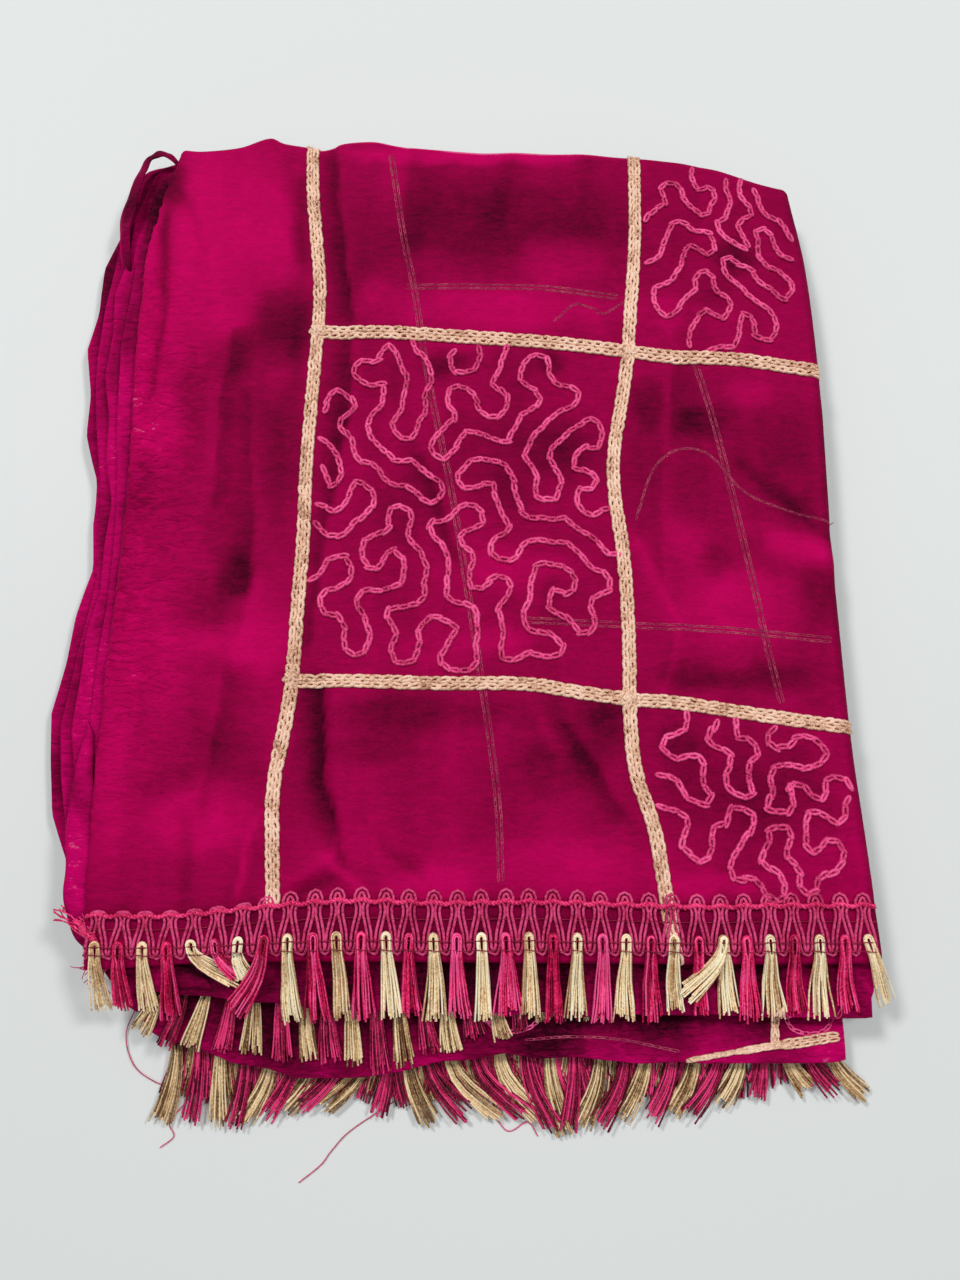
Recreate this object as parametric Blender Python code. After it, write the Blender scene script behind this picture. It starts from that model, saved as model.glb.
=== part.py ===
"""A dupatta stole of thin crepe, folded into a flat bundle that lies on a table.

The hidden folds are one rounded solid whose sides show the edges of its layers. Over it lies the
top layer, a thin wall of cloth with gold braids in squares of 150 mm. Its hem carries a lace with
tassels, gold and pink in turn, and two lower hems show theirs under it.

+X runs along the hem to the right, +Y away from the hem, +Z up. The origin is on the flat
underside. Sizes are in millimetres until a mesh is made.
"""

import math
from collections import namedtuple

import bmesh
import bpy
from mathutils import Vector
from mathutils.bvhtree import BVHTree

MM = 0.001

# The cloth, and the air between pieces
CLOTH = 1.2
GAP = 0.3
STACK_TOP = 19.4
PANEL_TOP = 21.3
DOME = 1.1

# The trimmings
BRAID_WIDTH = 5.6
BRAID_HEIGHT = 1.0
LACE_PITCH = 9.0
LACE_HEIGHT = 1.2
LOCK_HEIGHT = 1.3
STRIP_HEIGHT = 0.9
STRIP_DEPTH = 1.2

# The nominal rectangle round which the layers' edges ripple
HALF_WIDTH = 150.0


def smooth_through(stations, values, at):
    """The value at a place on the smooth curve through values at rising stations."""
    last = len(stations) - 1
    k = 0
    while k < last - 1 and at > stations[k + 1]:
        k += 1

    def slope(i):
        low, high = max(i - 1, 0), min(i + 1, last)
        return (values[high] - values[low]) / (stations[high] - stations[low])

    span = stations[k + 1] - stations[k]
    t = min(max((at - stations[k]) / span, 0.0), 1.0)
    start, end = slope(k) * span, slope(k + 1) * span
    return (
        values[k] * (2 * t**3 - 3 * t**2 + 1)
        + start * (t**3 - 2 * t**2 + t)
        + values[k + 1] * (3 * t**2 - 2 * t**3)
        + end * (t**3 - t**2)
    )


def evenly(low, high, count):
    return [low + (high - low) * i / (count - 1) for i in range(count)]


def finish_of(name, colour, roughness, metallic=0.0):
    """A plain finish in the cloth's or the thread's own colour."""
    made = bpy.data.materials.new(name)
    made.use_nodes = True
    shader = made.node_tree.nodes["Principled BSDF"]
    shader.inputs["Base Color"].default_value = (*colour, 1.0)
    shader.inputs["Roughness"].default_value = roughness
    shader.inputs["Metallic"].default_value = metallic
    made.diffuse_color = (*colour, 1.0)
    return made


def finish_object(name, shape, finish, thickness=None, outwards=False):
    """Makes an object of a bmesh in millimetres, and gives a sheet its thickness."""
    mesh = bpy.data.meshes.new(name)
    bmesh.ops.scale(shape, vec=(MM, MM, MM), verts=shape.verts)
    shape.to_mesh(mesh)
    shape.free()
    made = bpy.data.objects.new(name, mesh)
    bpy.context.scene.collection.objects.link(made)
    mesh.materials.append(finish)
    mesh.shade_smooth()
    mesh.set_sharp_from_angle(angle=math.radians(50))
    if thickness:
        wall = made.modifiers.new("Wall", "SOLIDIFY")
        wall.thickness = thickness * MM
        wall.offset = 1.0 if outwards else -1.0
    return made


def sheet_of(columns, rows, point):
    """A sheet as a grid of columns by rows, each point placed by the function point(i, j)."""
    sheet = bmesh.new()
    bmesh.ops.create_grid(sheet, x_segments=columns - 1, y_segments=rows - 1, size=1.0)
    sheet.verts.ensure_lookup_table()
    for index, vertex in enumerate(sheet.verts):
        vertex.co = point(index % columns, index // columns)
    return sheet


def swept_solid(rings):
    """A closed solid through rings of equally many points."""
    solid = bmesh.new()
    face = solid.faces.new([solid.verts.new(place) for place in rings[0]])
    for ring in rings[1:]:
        face = bmesh.ops.extrude_discrete_faces(solid, faces=[face])["faces"][0]
        for vertex, place in zip(face.verts, ring):
            vertex.co = place
    bmesh.ops.holes_fill(solid, edges=solid.edges)
    bmesh.ops.recalc_face_normals(solid, faces=solid.faces)
    return solid


# The folded layers under the top one, from the table up. front and back are y at five places from
# left to right, and left and right are x at five places from front to back. Each edge is a soft
# round fold that ripples, and a groove parts it from the next.
Layer = namedtuple("Layer", "low high front back left right groove ripple phase")
LAYERS = (
    Layer(
        low=0.0,
        high=3.2,
        front=(-206, -208, -208, -208, -206),
        back=(163, 168, 164, 163, 146),
        left=(-138, -170, -163, -171, -158),
        right=(128, 131, 130, 132, 128),
        groove=1.6,
        ripple=1.0,
        phase=0.4,
    ),
    Layer(
        low=3.2,
        high=6.6,
        front=(-206, -209, -208, -208, -206),
        back=(167, 171, 166, 165, 149),
        left=(-142, -176, -166, -175, -161),
        right=(131, 134, 134, 135, 132),
        groove=3.6,
        ripple=1.3,
        phase=2.1,
    ),
    Layer(
        low=6.6,
        high=10.4,
        front=(-214, -231, -223, -225, -222),
        back=(165, 174, 168, 165, 148),
        left=(-129, -169, -162, -169, -158),
        right=(135, 138, 139, 138, 134),
        groove=5.0,
        ripple=0.7,
        phase=3.7,
    ),
    Layer(
        low=10.4,
        high=13.9,
        front=(-189, -192, -191, -190, -189),
        back=(166, 168, 163, 160, 144),
        left=(-146, -164, -158, -163, -152),
        right=(143, 144, 142, 142, 138),
        groove=3.4,
        ripple=1.1,
        phase=5.2,
    ),
    Layer(
        low=13.9,
        high=17.0,
        front=(-196, -205, -206, -208, -205),
        back=(160, 163, 158, 155, 139),
        left=(-141, -156, -153, -156, -146),
        right=(149, 144, 141, 142, 137),
        groove=3.0,
        ripple=0.8,
        phase=0.9,
    ),
    Layer(
        low=17.0,
        high=STACK_TOP,
        front=(-180, -180, -180, -180, -180),
        back=(158, 162, 157, 154, 138),
        left=(-144, -143, -142, -143, -141),
        right=(145, 142, 140, 141, 134),
        groove=3.0,
        ripple=0.0,
        phase=0.0,
    ),
)
FIVE_PLACES = (-1.0, -0.5, 0.0, 0.5, 1.0)
POINTS_ON_SIDES = {"front": 22, "right": 14, "back": 16, "left": 20}
CORNER_SHARE = 0.07
RIPPLE_LENGTH = 34.0


def rounded_square():
    """Points (u, v) round a square of half side 1 with rounded corners, from the front left."""
    inner = 1.0 - CORNER_SHARE
    directions = {"front": (1, 0), "right": (0, 1), "back": (-1, 0), "left": (0, -1)}
    points = []
    for side, (along_u, along_v) in directions.items():
        places = [(s, 1.0) for s in evenly(-inner, inner, POINTS_ON_SIDES[side] - 2)]
        for angle in (math.pi / 6, math.pi / 3):
            along = inner + CORNER_SHARE * math.sin(angle)
            out = inner + CORNER_SHARE * math.cos(angle)
            places.append((along, out))
        for along, out in places:
            points.append((along * along_u + out * along_v, along * along_v - out * along_u))
    return points


def layer_ring(layer, inset, height):
    """One ring round a layer, pulled in from its edge by inset."""
    ring = []
    for u, v in rounded_square():
        front = smooth_through(FIVE_PLACES, layer.front, u)
        back = smooth_through(FIVE_PLACES, layer.back, u)
        left = smooth_through(FIVE_PLACES, layer.left, v)
        right = smooth_through(FIVE_PLACES, layer.right, v)
        turn = 2 * math.pi * (u - v) * HALF_WIDTH / RIPPLE_LENGTH
        pulled = inset + layer.ripple * math.sin(turn + layer.phase)
        x = (left + right) / 2 + u * ((right - left) / 2 - pulled)
        y = (front + back) / 2 + v * ((back - front) / 2 - pulled)
        ring.append((x, y, height))
    return ring


def folded_layers(finish):
    """The hidden folds as one solid, with a round edge and a groove for each layer that shows."""
    rings = []
    for layer in LAYERS:
        profile = ((0.0, layer.groove), (0.35, 0.3), (0.8, 0.9))
        for share, inset in profile:
            height = layer.low + share * (layer.high - layer.low)
            rings.append(layer_ring(layer, inset, height))
    rings.append(layer_ring(LAYERS[-1], 2.5, STACK_TOP))
    return finish_object("folded_layers", swept_solid(rings), finish)


# The top layer. Each row is a line across the cloth, from the hem to the back fold, and gives
# where it meets the left fold, the left braid, the middle braid and the right fold.
Across = namedtuple("Across", "left left_braid middle_braid right")
CLOTH_LINES = (
    Across(left=(-149, -190), left_braid=(-77, -187), middle_braid=(69, -188), right=(152, -188)),
    Across(left=(-151, -135), left_braid=(-78, -132), middle_braid=(65, -137), right=(149, -140)),
    Across(left=(-150, -78), left_braid=(-71, -79), middle_braid=(59, -90), right=(147, -98)),
    Across(left=(-148, -5), left_braid=(-71, -5), middle_braid=(58, -13), right=(146, -22)),
    Across(left=(-149, 73), left_braid=(-68, 74), middle_braid=(64, 65), right=(147, 52)),
    Across(left=(-149, 122), left_braid=(-71, 122), middle_braid=(67, 117), right=(145, 104)),
    Across(left=(-146, 167), left_braid=(-77, 168), middle_braid=(70, 163), right=(140, 147)),
)
LINE_NUMBERS = tuple(range(len(CLOTH_LINES)))
LOWER_CROSS, UPPER_CROSS, BACK_LINE = 2, 4, 6
HEM_Y, BACK_Y = -188.0, 165.0
HEM_DROP, HEM_REACH = 1.2, 6.0

# The rolled edges: the radius of each, and how far it hangs below its round.
LEFT_ROLL, RIGHT_ROLL, BACK_ROLL = 3.0, 5.0, 4.5
LEFT_DROP, RIGHT_DROP, BACK_DROP = 0.6, 2.0, 2.0
ROLL_ANGLES = tuple(math.radians(angle) for angle in (0, 35, 65, 90))

# Soft folds of the top layer, from start to end. Each rises by height, and falls away within left
# on its left side and right on its right, seen from its start.
Crease = namedtuple("Crease", "start end height left right")
CREASES = (
    Crease(start=(-60, 80), end=(-56, -80), height=1.5, left=7, right=15),
    Crease(start=(-58, -78), end=(-14, -164), height=1.9, left=8, right=18),
    Crease(start=(-80, -150), end=(-10, -158), height=1.2, left=12, right=16),
    Crease(start=(-98, 165), end=(-106, 50), height=1.2, left=20, right=9),
    Crease(start=(-108, 60), end=(-100, -60), height=1.3, left=18, right=8),
    Crease(start=(-122, -30), end=(-112, -170), height=1.0, left=12, right=16),
    Crease(start=(-134, 120), end=(-128, -60), height=1.2, left=12, right=9),
    Crease(start=(14, 60), end=(34, -60), height=1.2, left=14, right=22),
    Crease(start=(-20, 150), end=(24, 90), height=1.3, left=26, right=18),
    Crease(start=(30, -84), end=(60, -160), height=1.3, left=20, right=12),
    Crease(start=(70, -20), end=(96, -80), height=1.3, left=14, right=10),
    Crease(start=(84, 150), end=(120, 70), height=1.0, left=16, right=16),
    Crease(start=(126, 40), end=(104, -60), height=1.4, left=12, right=20),
    Crease(start=(90, -100), end=(134, -150), height=1.0, left=18, right=14),
)


def crease_height(crease, x, y):
    """How far one soft fold lifts the cloth at a place."""
    run_x, run_y = crease.end[0] - crease.start[0], crease.end[1] - crease.start[1]
    length = math.hypot(run_x, run_y)
    from_x, from_y = x - crease.start[0], y - crease.start[1]
    along = (from_x * run_x + from_y * run_y) / length
    to_left = (from_y * run_x - from_x * run_y) / length
    spread = crease.left if to_left > 0 else crease.right
    past_end = max(-along, along - length, 0.0)
    return crease.height * math.exp(-(to_left**2 + past_end**2) / spread**2)


def cloth_height(x, y):
    """The upper side of the top layer over the table, without its rolled edges."""
    middle, half_length = (HEM_Y + BACK_Y) / 2, (BACK_Y - HEM_Y) / 2
    off_x, off_y = min(1.0, abs(x) / HALF_WIDTH), min(1.0, abs(y - middle) / half_length)
    dome = DOME * (1 - off_x**2) * (1 - off_y**2)
    lift = sum(crease_height(crease, x, y) for crease in CREASES)
    from_hem = max(0.0, y - HEM_Y)
    hem = HEM_DROP * max(0.0, 1 - from_hem / HEM_REACH) ** 2
    return PANEL_TOP + dome + lift * min(1.0, from_hem / 40) - hem


def cloth_place(s, t):
    """Where the cloth's line s across and t along lies: s is 0 at the left fold, 1 and 2 at the
    braids and 3 at the right fold, and t counts the lines from the hem."""
    across = []
    for k in range(4):
        xs = [line[k][0] for line in CLOTH_LINES]
        ys = [line[k][1] for line in CLOTH_LINES]
        across.append([smooth_through(LINE_NUMBERS, xs, t), smooth_through(LINE_NUMBERS, ys, t)])
    across[0][0] += LEFT_ROLL
    across[3][0] -= RIGHT_ROLL
    back_share = max(0.0, t - BACK_LINE + 1)
    x = smooth_through((0, 1, 2, 3), [place[0] for place in across], s)
    y = smooth_through((0, 1, 2, 3), [place[1] for place in across], s)
    return x, y - BACK_ROLL * back_share


def rolled(radius, drop, step):
    """How far out and down a rolled edge is at a step round it, and then straight down."""
    angle = ROLL_ANGLES[min(step, len(ROLL_ANGLES) - 1)]
    below = drop if step == len(ROLL_ANGLES) else 0.0
    return radius * math.sin(angle), radius * (1 - math.cos(angle)) + below


def cloth_point(s, t, side_step=0, back_step=0):
    """A point of the top layer's upper side, rolled on past its side fold and its back fold.
    The two rolls meet in a round corner."""
    x, y = cloth_place(s, t)
    step = max(side_step, back_step)
    turn = math.atan2(back_step, side_step) if step else 0.0
    outwards, radius, drop = (-1, LEFT_ROLL, LEFT_DROP) if s < 1.5 else (1, RIGHT_ROLL, RIGHT_DROP)
    side_out, side_down = rolled(radius, drop, step)
    back_out, back_down = rolled(BACK_ROLL, BACK_DROP, step)
    down = side_down * math.cos(turn) ** 2 + back_down * math.sin(turn) ** 2
    return (
        x + outwards * side_out * math.cos(turn),
        y + back_out * math.sin(turn),
        cloth_height(x, y) - down,
    )


def top_layer(finish):
    """The cloth that shows, over the folded layers and round their side and back folds. Returns
    what finds its upper side too, for the pieces that lie on it."""
    steps = range(1, len(ROLL_ANGLES) + 1)
    flat = evenly(0, 1, 6)[:-1] + evenly(1, 2, 11)[:-1] + evenly(2, 3, 7)
    columns = [(0.0, k) for k in reversed(steps)] + [(s, 0) for s in flat] + [(3.0, k) for k in steps]
    rows = [(t, 0) for t in evenly(0, BACK_LINE, 3 * BACK_LINE + 1)] + [(BACK_LINE, k) for k in steps]

    def point(i, j):
        (s, side_step), (t, back_step) = columns[i], rows[j]
        return cloth_point(s, t, side_step, back_step)

    sheet = sheet_of(len(columns), len(rows), point)
    bmesh.ops.triangulate(sheet, faces=sheet.faces)
    upper_side = BVHTree.FromBMesh(sheet)
    return finish_object("top_layer", sheet, finish, CLOTH), upper_side


TOUCH_REACH = 1.8
HIGH = 60.0


def resting_height(upper_side, x, y):
    """The lowest that a flat piece can lie at a place on the cloth, clear of it by the gap."""
    heights = []
    for off_x in (-TOUCH_REACH, 0.0, TOUCH_REACH):
        for off_y in (-TOUCH_REACH, 0.0, TOUCH_REACH):
            place = upper_side.ray_cast(Vector((x + off_x, y + off_y, HIGH)), Vector((0, 0, -1)))[0]
            if place:
                heights.append(place.z)
    return max(heights) + GAP


def braid(name, finish, upper_side, places):
    """A flat braid along places on the cloth."""

    def point(i, j):
        before, after = places[max(j - 1, 0)], places[min(j + 1, len(places) - 1)]
        run_x, run_y = after[0] - before[0], after[1] - before[1]
        shift = (i - 1) * BRAID_WIDTH / 2 / math.hypot(run_x, run_y)
        x, y = places[j][0] + shift * run_y, places[j][1] - shift * run_x
        return x, y, resting_height(upper_side, x, y)

    finish_object(name, sheet_of(3, len(places), point), finish, BRAID_HEIGHT, outwards=True)


BRAID_END = LACE_PITCH / 2
CROSS_CLEAR = BRAID_WIDTH / 2 + 4 * GAP


def gold_braids(finish, upper_side):
    """Two braids along the cloth and four across it, which stop just short of those they meet."""
    for name, s in (("gold_braid_left", 1.0), ("gold_braid_middle", 2.0)):
        places = [cloth_place(s, t) for t in evenly(0, BACK_LINE, 3 * BACK_LINE + 1)]
        places = [(x, y) for x, y in places if y > LACE_TOP_Y + BRAID_END]
        places.insert(0, (places[0][0], LACE_TOP_Y + BRAID_END / 2))
        braid(name, finish, upper_side, places)
    for level, t in (("lower", LOWER_CROSS), ("upper", UPPER_CROSS)):
        for part, start, end, count in (("left", 1.0, 2.0, 11), ("right", 2.0, 3.0, 7)):
            places = [cloth_place(s, t) for s in evenly(start, end, count)]
            places[0] = (places[0][0] + CROSS_CLEAR, places[0][1])
            if end == 2.0:
                places[-1] = (places[-1][0] - CROSS_CLEAR, places[-1][1])
            braid(f"gold_braid_{level}_{part}", finish, upper_side, places)


# The lace on the top hem: a zigzag of cords between a scalloped edge and a foot. It has one repeat
# for each tassel, and a gap between each pair of cords that is cut through.
LACE_TOP_Y = -163.0
LACE_FOOT_Y = -181.5
LACE_LEFT = -148.0
LACE_REPEATS = 33
LACE_RIPPLE = (-5.0, -5.0, -1.5, 1.0, 0.0, 0.5, -0.5, -1.5, -1.0, -1.0)
SCALLOP = 1.0
EDGE_DEPTH, FOOT_DEPTH = 3.4, 3.2
GAP_TOP_WIDTH, GAP_FOOT_WIDTH = 1.0, 5.0


def lace_ripple(x):
    """How far the lace's upper edge strays from its straight line."""
    stations = evenly(LACE_LEFT, LACE_LEFT + LACE_REPEATS * LACE_PITCH, len(LACE_RIPPLE))
    return smooth_through(stations, LACE_RIPPLE, x)


def hem_lace(finish, upper_side):
    """The crocheted heading of the fringe."""
    columns = [(LACE_LEFT, LACE_LEFT, 0.0)]
    for k in range(LACE_REPEATS):
        middle = LACE_LEFT + (k + 0.5) * LACE_PITCH
        for side in (-0.5, 0.5):
            foot_x = middle + side * GAP_FOOT_WIDTH
            columns.append((foot_x, middle + side * GAP_TOP_WIDTH, SCALLOP))
        columns.append((middle + LACE_PITCH / 2, middle + LACE_PITCH / 2, -SCALLOP))

    def point(i, j):
        foot_x, top_x, rise = columns[i]
        x = foot_x if j < 2 else top_x
        top = LACE_TOP_Y + lace_ripple(x)
        y = (LACE_FOOT_Y, LACE_FOOT_Y + FOOT_DEPTH, top - EDGE_DEPTH, top + rise)[j]
        return x, y, resting_height(upper_side, x, y)

    sheet = sheet_of(len(columns), 4, point)
    sheet.verts.index_update()
    gaps = []
    for face in sheet.faces:
        across = {vertex.index % len(columns) for vertex in face.verts}
        along = {vertex.index // len(columns) for vertex in face.verts}
        if along == {1, 2} and min(across) % 3 == 1:
            gaps.append(face)
    bmesh.ops.delete(sheet, geom=gaps, context="FACES")
    return finish_object("hem_lace", sheet, finish, LACE_HEIGHT, outwards=True)


# The tassels of the three hems that show. Each tassel is a bunch of locks that spreads to its tip.
# tips is y and leans is x of the tips from their heads, at even places from left to right. route
# is the height of a lock over its head's own height, at even places from head to tip.
Fringe = namedtuple("Fringe", "name first count locks head low tips leans route")
FRINGES = (
    Fringe(
        name="top",
        first=LACE_LEFT + LACE_PITCH / 2,
        count=33,
        locks=3,
        head=-184.2,
        low=None,
        tips=(-203, -206, -208, -205, -207, -206, -208, -205, -206, -203),
        leans=(7.0, 4.0, 1.0, 1.5, 2.5, 1.0, 0.0, 0.5, 2.0, 7.0),
        route=(0.0, 0.0, -1.9, -2.3),
    ),
    Fringe(
        name="middle",
        first=-121.0,
        count=19,
        locks=2,
        head=-195.4,
        low=11.0,
        tips=(-215, -219, -221, -223, -225, -219, -215, -211, -209),
        leans=(-5.0, -3.0, 2.0, 4.0, 5.0, 3.0, 5.0, 6.0, 4.0),
        route=(0.0, 0.1, -0.1),
    ),
    Fringe(
        name="low",
        first=-117.0,
        count=29,
        locks=2,
        head=-210.1,
        low=1.6,
        tips=(-245, -247, -245, -241, -248, -247, -250, -246, -243, -236, -239, -236),
        leans=(-4.0, 1.0, 4.0, 4.0, 1.0, -1.0, 1.0, 4.0, 5.0, 2.0, -1.0, 1.0),
        route=(0.0, -0.8, -1.1),
    ),
)
LOCK_GAP = 0.5
TASSEL_SPREAD = 7.8
LOCK_WIDTHS = {2: (1.9, 2.5, 2.2), 3: (1.2, 1.4, 1.9, 1.6)}
LENGTH_JITTER = 0.06


def lock_stations(fringe, tassel, lock, head_z, level):
    """Where a lock's middle, half width and height lie, at even places from head to tip."""
    head_x = fringe.first + tassel * LACE_PITCH
    off_middle = lock - (fringe.locks - 1) / 2
    places = evenly(0, fringe.count - 1, len(fringe.tips))
    tip_y = smooth_through(places, fringe.tips, tassel)
    lean = smooth_through(places, fringe.leans, tassel)
    length = 1 + LENGTH_JITTER * math.sin(2.4 * tassel + 1.9 * lock)
    root_pitch = LOCK_WIDTHS[fringe.locks][0] + LOCK_GAP
    tip_pitch = TASSEL_SPREAD / fringe.locks
    stations = []
    for k, rise in enumerate(fringe.route):
        share = length * k / (len(fringe.route) - 1)
        width = LOCK_WIDTHS[fringe.locks][k]
        pitch = root_pitch + (tip_pitch - root_pitch) * share
        x = head_x + off_middle * pitch + lean * share**1.5
        y = fringe.head + (tip_y - fringe.head) * share
        sink = level * (STRIP_HEIGHT + GAP) * min(1.0, share)
        stations.append((x, y, head_z + rise - sink, width))
    return stations


def tassels(fringe, colour, level, finish, upper_side):
    """Every other tassel of one hem, fused at their roots into a narrow strip. The gold ones hang
    from the lower strip, level 0, and the pink ones from the upper, level 1."""
    numbers = range(level, fringe.count, 2)
    lift = level * (STRIP_HEIGHT + GAP)

    def head_height(x):
        if fringe.low is not None:
            return fringe.low + lift
        return resting_height(upper_side, x, HEM_Y + TOUCH_REACH) + lift

    locks = []
    edges = []
    for tassel in numbers:
        head_z = head_height(fringe.first + tassel * LACE_PITCH)
        for lock in range(fringe.locks):
            stations = lock_stations(fringe, tassel, lock, head_z, level)
            x, half_width = stations[0][0], stations[0][3] / 2
            locks.append(stations)
            edges += [(x - half_width, head_z), (x + half_width, head_z)]
    (first_x, first_z), (last_x, last_z) = edges[0], edges[-1]
    edges = [(first_x - STRIP_DEPTH, first_z), *edges, (last_x + STRIP_DEPTH, last_z)]
    rings = []
    for x, z in edges:
        back = (x, fringe.head + STRIP_DEPTH, z + STRIP_HEIGHT / 2)
        rings.append([(x, fringe.head, z), (x, fringe.head, z + STRIP_HEIGHT), back])
    strip = swept_solid(rings)
    front = [face for face in strip.faces if len(face.verts) == 4 and face.normal.y < -0.9]
    front.sort(key=lambda face: face.calc_center_median().x)
    for face, stations in zip(front[1::2], locks):
        pull_lock(strip, face, stations)
    return finish_object(f"tassels_{fringe.name}_{colour}", strip, finish)


def pull_lock(strip, face, stations):
    """Pulls a lock of threads out of a face of its strip."""
    middle = face.calc_center_median()
    corners = [(1 if v.co.x > middle.x else -1, v.co.z > middle.z) for v in face.verts]
    for x, y, z, width in stations[1:]:
        face = bmesh.ops.extrude_discrete_faces(strip, faces=[face])["faces"][0]
        for vertex, (side, is_top) in zip(face.verts, corners):
            vertex.co = (x + side * width / 2, y, z + (LOCK_HEIGHT if is_top else 0.0))


def clear_scene():
    for old in list(bpy.data.objects):
        bpy.data.objects.remove(old)


clear_scene()
crepe = finish_of("magenta crepe", (0.42, 0.0, 0.075), 0.75)
crepe_in_shade = finish_of("magenta crepe in shade", (0.26, 0.0, 0.05), 0.8)
gold = finish_of("gold thread", (0.72, 0.55, 0.28), 0.35, 0.7)
pink = finish_of("pink thread", (0.55, 0.03, 0.12), 0.6)
folded_layers(crepe_in_shade)
cloth, cloth_upper_side = top_layer(crepe)
gold_braids(gold, cloth_upper_side)
hem_lace(pink, cloth_upper_side)
for hem in FRINGES:
    tassels(hem, "gold", 0, gold, cloth_upper_side)
    tassels(hem, "pink", 1, pink, cloth_upper_side)
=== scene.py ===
"""The look of a dupatta stole of magenta crepe, folded into a flat bundle on a pale table.

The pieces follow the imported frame. Sizes are in millimetres in the stole's own frame, with +X
along the tasselled hem, +Y towards the back fold and +Z up, and meshes are made in metres.
"""

import math
import random

import bmesh
import bpy
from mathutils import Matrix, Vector, noise
from mathutils.bvhtree import BVHTree
from mathutils.kdtree import KDTree


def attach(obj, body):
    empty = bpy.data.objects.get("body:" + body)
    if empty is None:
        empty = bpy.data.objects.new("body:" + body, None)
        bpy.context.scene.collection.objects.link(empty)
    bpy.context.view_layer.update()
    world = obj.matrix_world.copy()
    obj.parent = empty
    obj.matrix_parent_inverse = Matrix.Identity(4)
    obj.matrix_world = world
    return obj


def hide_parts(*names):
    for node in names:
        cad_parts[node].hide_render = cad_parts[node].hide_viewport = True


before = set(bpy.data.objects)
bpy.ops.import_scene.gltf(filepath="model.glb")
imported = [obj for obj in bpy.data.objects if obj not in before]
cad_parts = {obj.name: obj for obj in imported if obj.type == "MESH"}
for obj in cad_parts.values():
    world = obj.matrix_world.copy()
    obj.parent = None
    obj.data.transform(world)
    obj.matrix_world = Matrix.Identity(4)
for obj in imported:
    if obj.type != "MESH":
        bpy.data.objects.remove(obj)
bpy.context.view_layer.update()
MM = 0.001

# Camera
# A phone held over the table, tipped a little back from straight down, with its main lens.
CAMERA_TIP = math.radians(13.0)
CAMERA_PLACE = (0.0, -150.6, 397.0)
PHONE_LENS = 27.0

camera = bpy.data.objects.new("camera", bpy.data.cameras.new("camera"))
camera.data.lens = PHONE_LENS
camera.data.sensor_width = 36.0
camera.data.clip_start = 0.01
camera.location = Vector(CAMERA_PLACE) * MM
camera.rotation_euler = (CAMERA_TIP, 0.0, 0.0)
bpy.context.scene.collection.objects.link(camera)
bpy.context.scene.camera = camera
bpy.context.scene.view_settings.view_transform = "Standard"

# Table and light
# A smooth white table top under wide ceiling panels. The light is soft and nearly even, a little
# stronger from behind on the left, so the shadows are pale and lie close to the folds.


def linear(hex_colour):
    """An sRGB hex colour as the linear values that a shader takes."""
    parts = [int(hex_colour[k : k + 2], 16) / 255 for k in (1, 3, 5)]
    return tuple(c / 12.92 if c <= 0.04045 else ((c + 0.055) / 1.055) ** 2.4 for c in parts)


def add_node(tree, kind, links=None, **settings):
    """Adds one node with its settings, and links its inputs from other nodes' outputs."""
    node = tree.nodes.new(kind)
    for key, value in settings.items():
        if key in node.inputs:
            node.inputs[key].default_value = value
        else:
            setattr(node, key, value)
    for key, source in (links or {}).items():
        tree.links.new(source, node.inputs[key])
    return node


def new_material(name):
    """A material with only its Principled shader, which is returned with its node tree."""
    made = bpy.data.materials.new(name)
    made.use_nodes = True
    return made, made.node_tree, made.node_tree.nodes["Principled BSDF"]


laminate, tree, shader = new_material("white gloss laminate")
shader.inputs["Base Color"].default_value = (*linear("#dee1e0"), 1.0)
shader.inputs["Roughness"].default_value = 0.5
shader.inputs["Specular IOR Level"].default_value = 0.14

table = bmesh.new()
bmesh.ops.create_grid(table, x_segments=1, y_segments=1, size=4.0)
bmesh.ops.translate(table, verts=table.verts, vec=(0, 0, -0.0002))
table_mesh = bpy.data.meshes.new("table")
table.to_mesh(table_mesh)
table_mesh.materials.append(laminate)
table_top = bpy.data.objects.new("table", table_mesh)
bpy.context.scene.collection.objects.link(table_top)

for lamp_name, place, size, watts in (
    ("panel_back_left", (-1.1, 1.0, 1.95), 0.45, 29.0),
    ("panel_back_right", (1.3, 0.8, 1.95), 0.45, 24.0),
    ("panel_front", (0.1, -0.9, 1.8), 0.9, 6.5),
):
    lamp = bpy.data.objects.new(lamp_name, bpy.data.lights.new(lamp_name, "AREA"))
    lamp.data.shape = "SQUARE"
    lamp.data.size = size
    lamp.data.energy = watts
    lamp.location = place
    lamp.rotation_euler = (-Vector(place)).to_track_quat("-Z", "Y").to_euler()
    bpy.context.scene.collection.objects.link(lamp)

world = bpy.data.worlds.new("soft studio")
world.use_nodes = True
world.node_tree.nodes["Background"].inputs["Color"].default_value = (0.95, 0.98, 1.0, 1.0)
world.node_tree.nodes["Background"].inputs["Strength"].default_value = 0.2
bpy.context.scene.world = world

# Hidden folds
# About twenty thicknesses of the one cloth lie under the top one. Each shows only its soft round
# fold at the sides, a little in or out of the next, and the lowest lies flat on the table.


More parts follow.
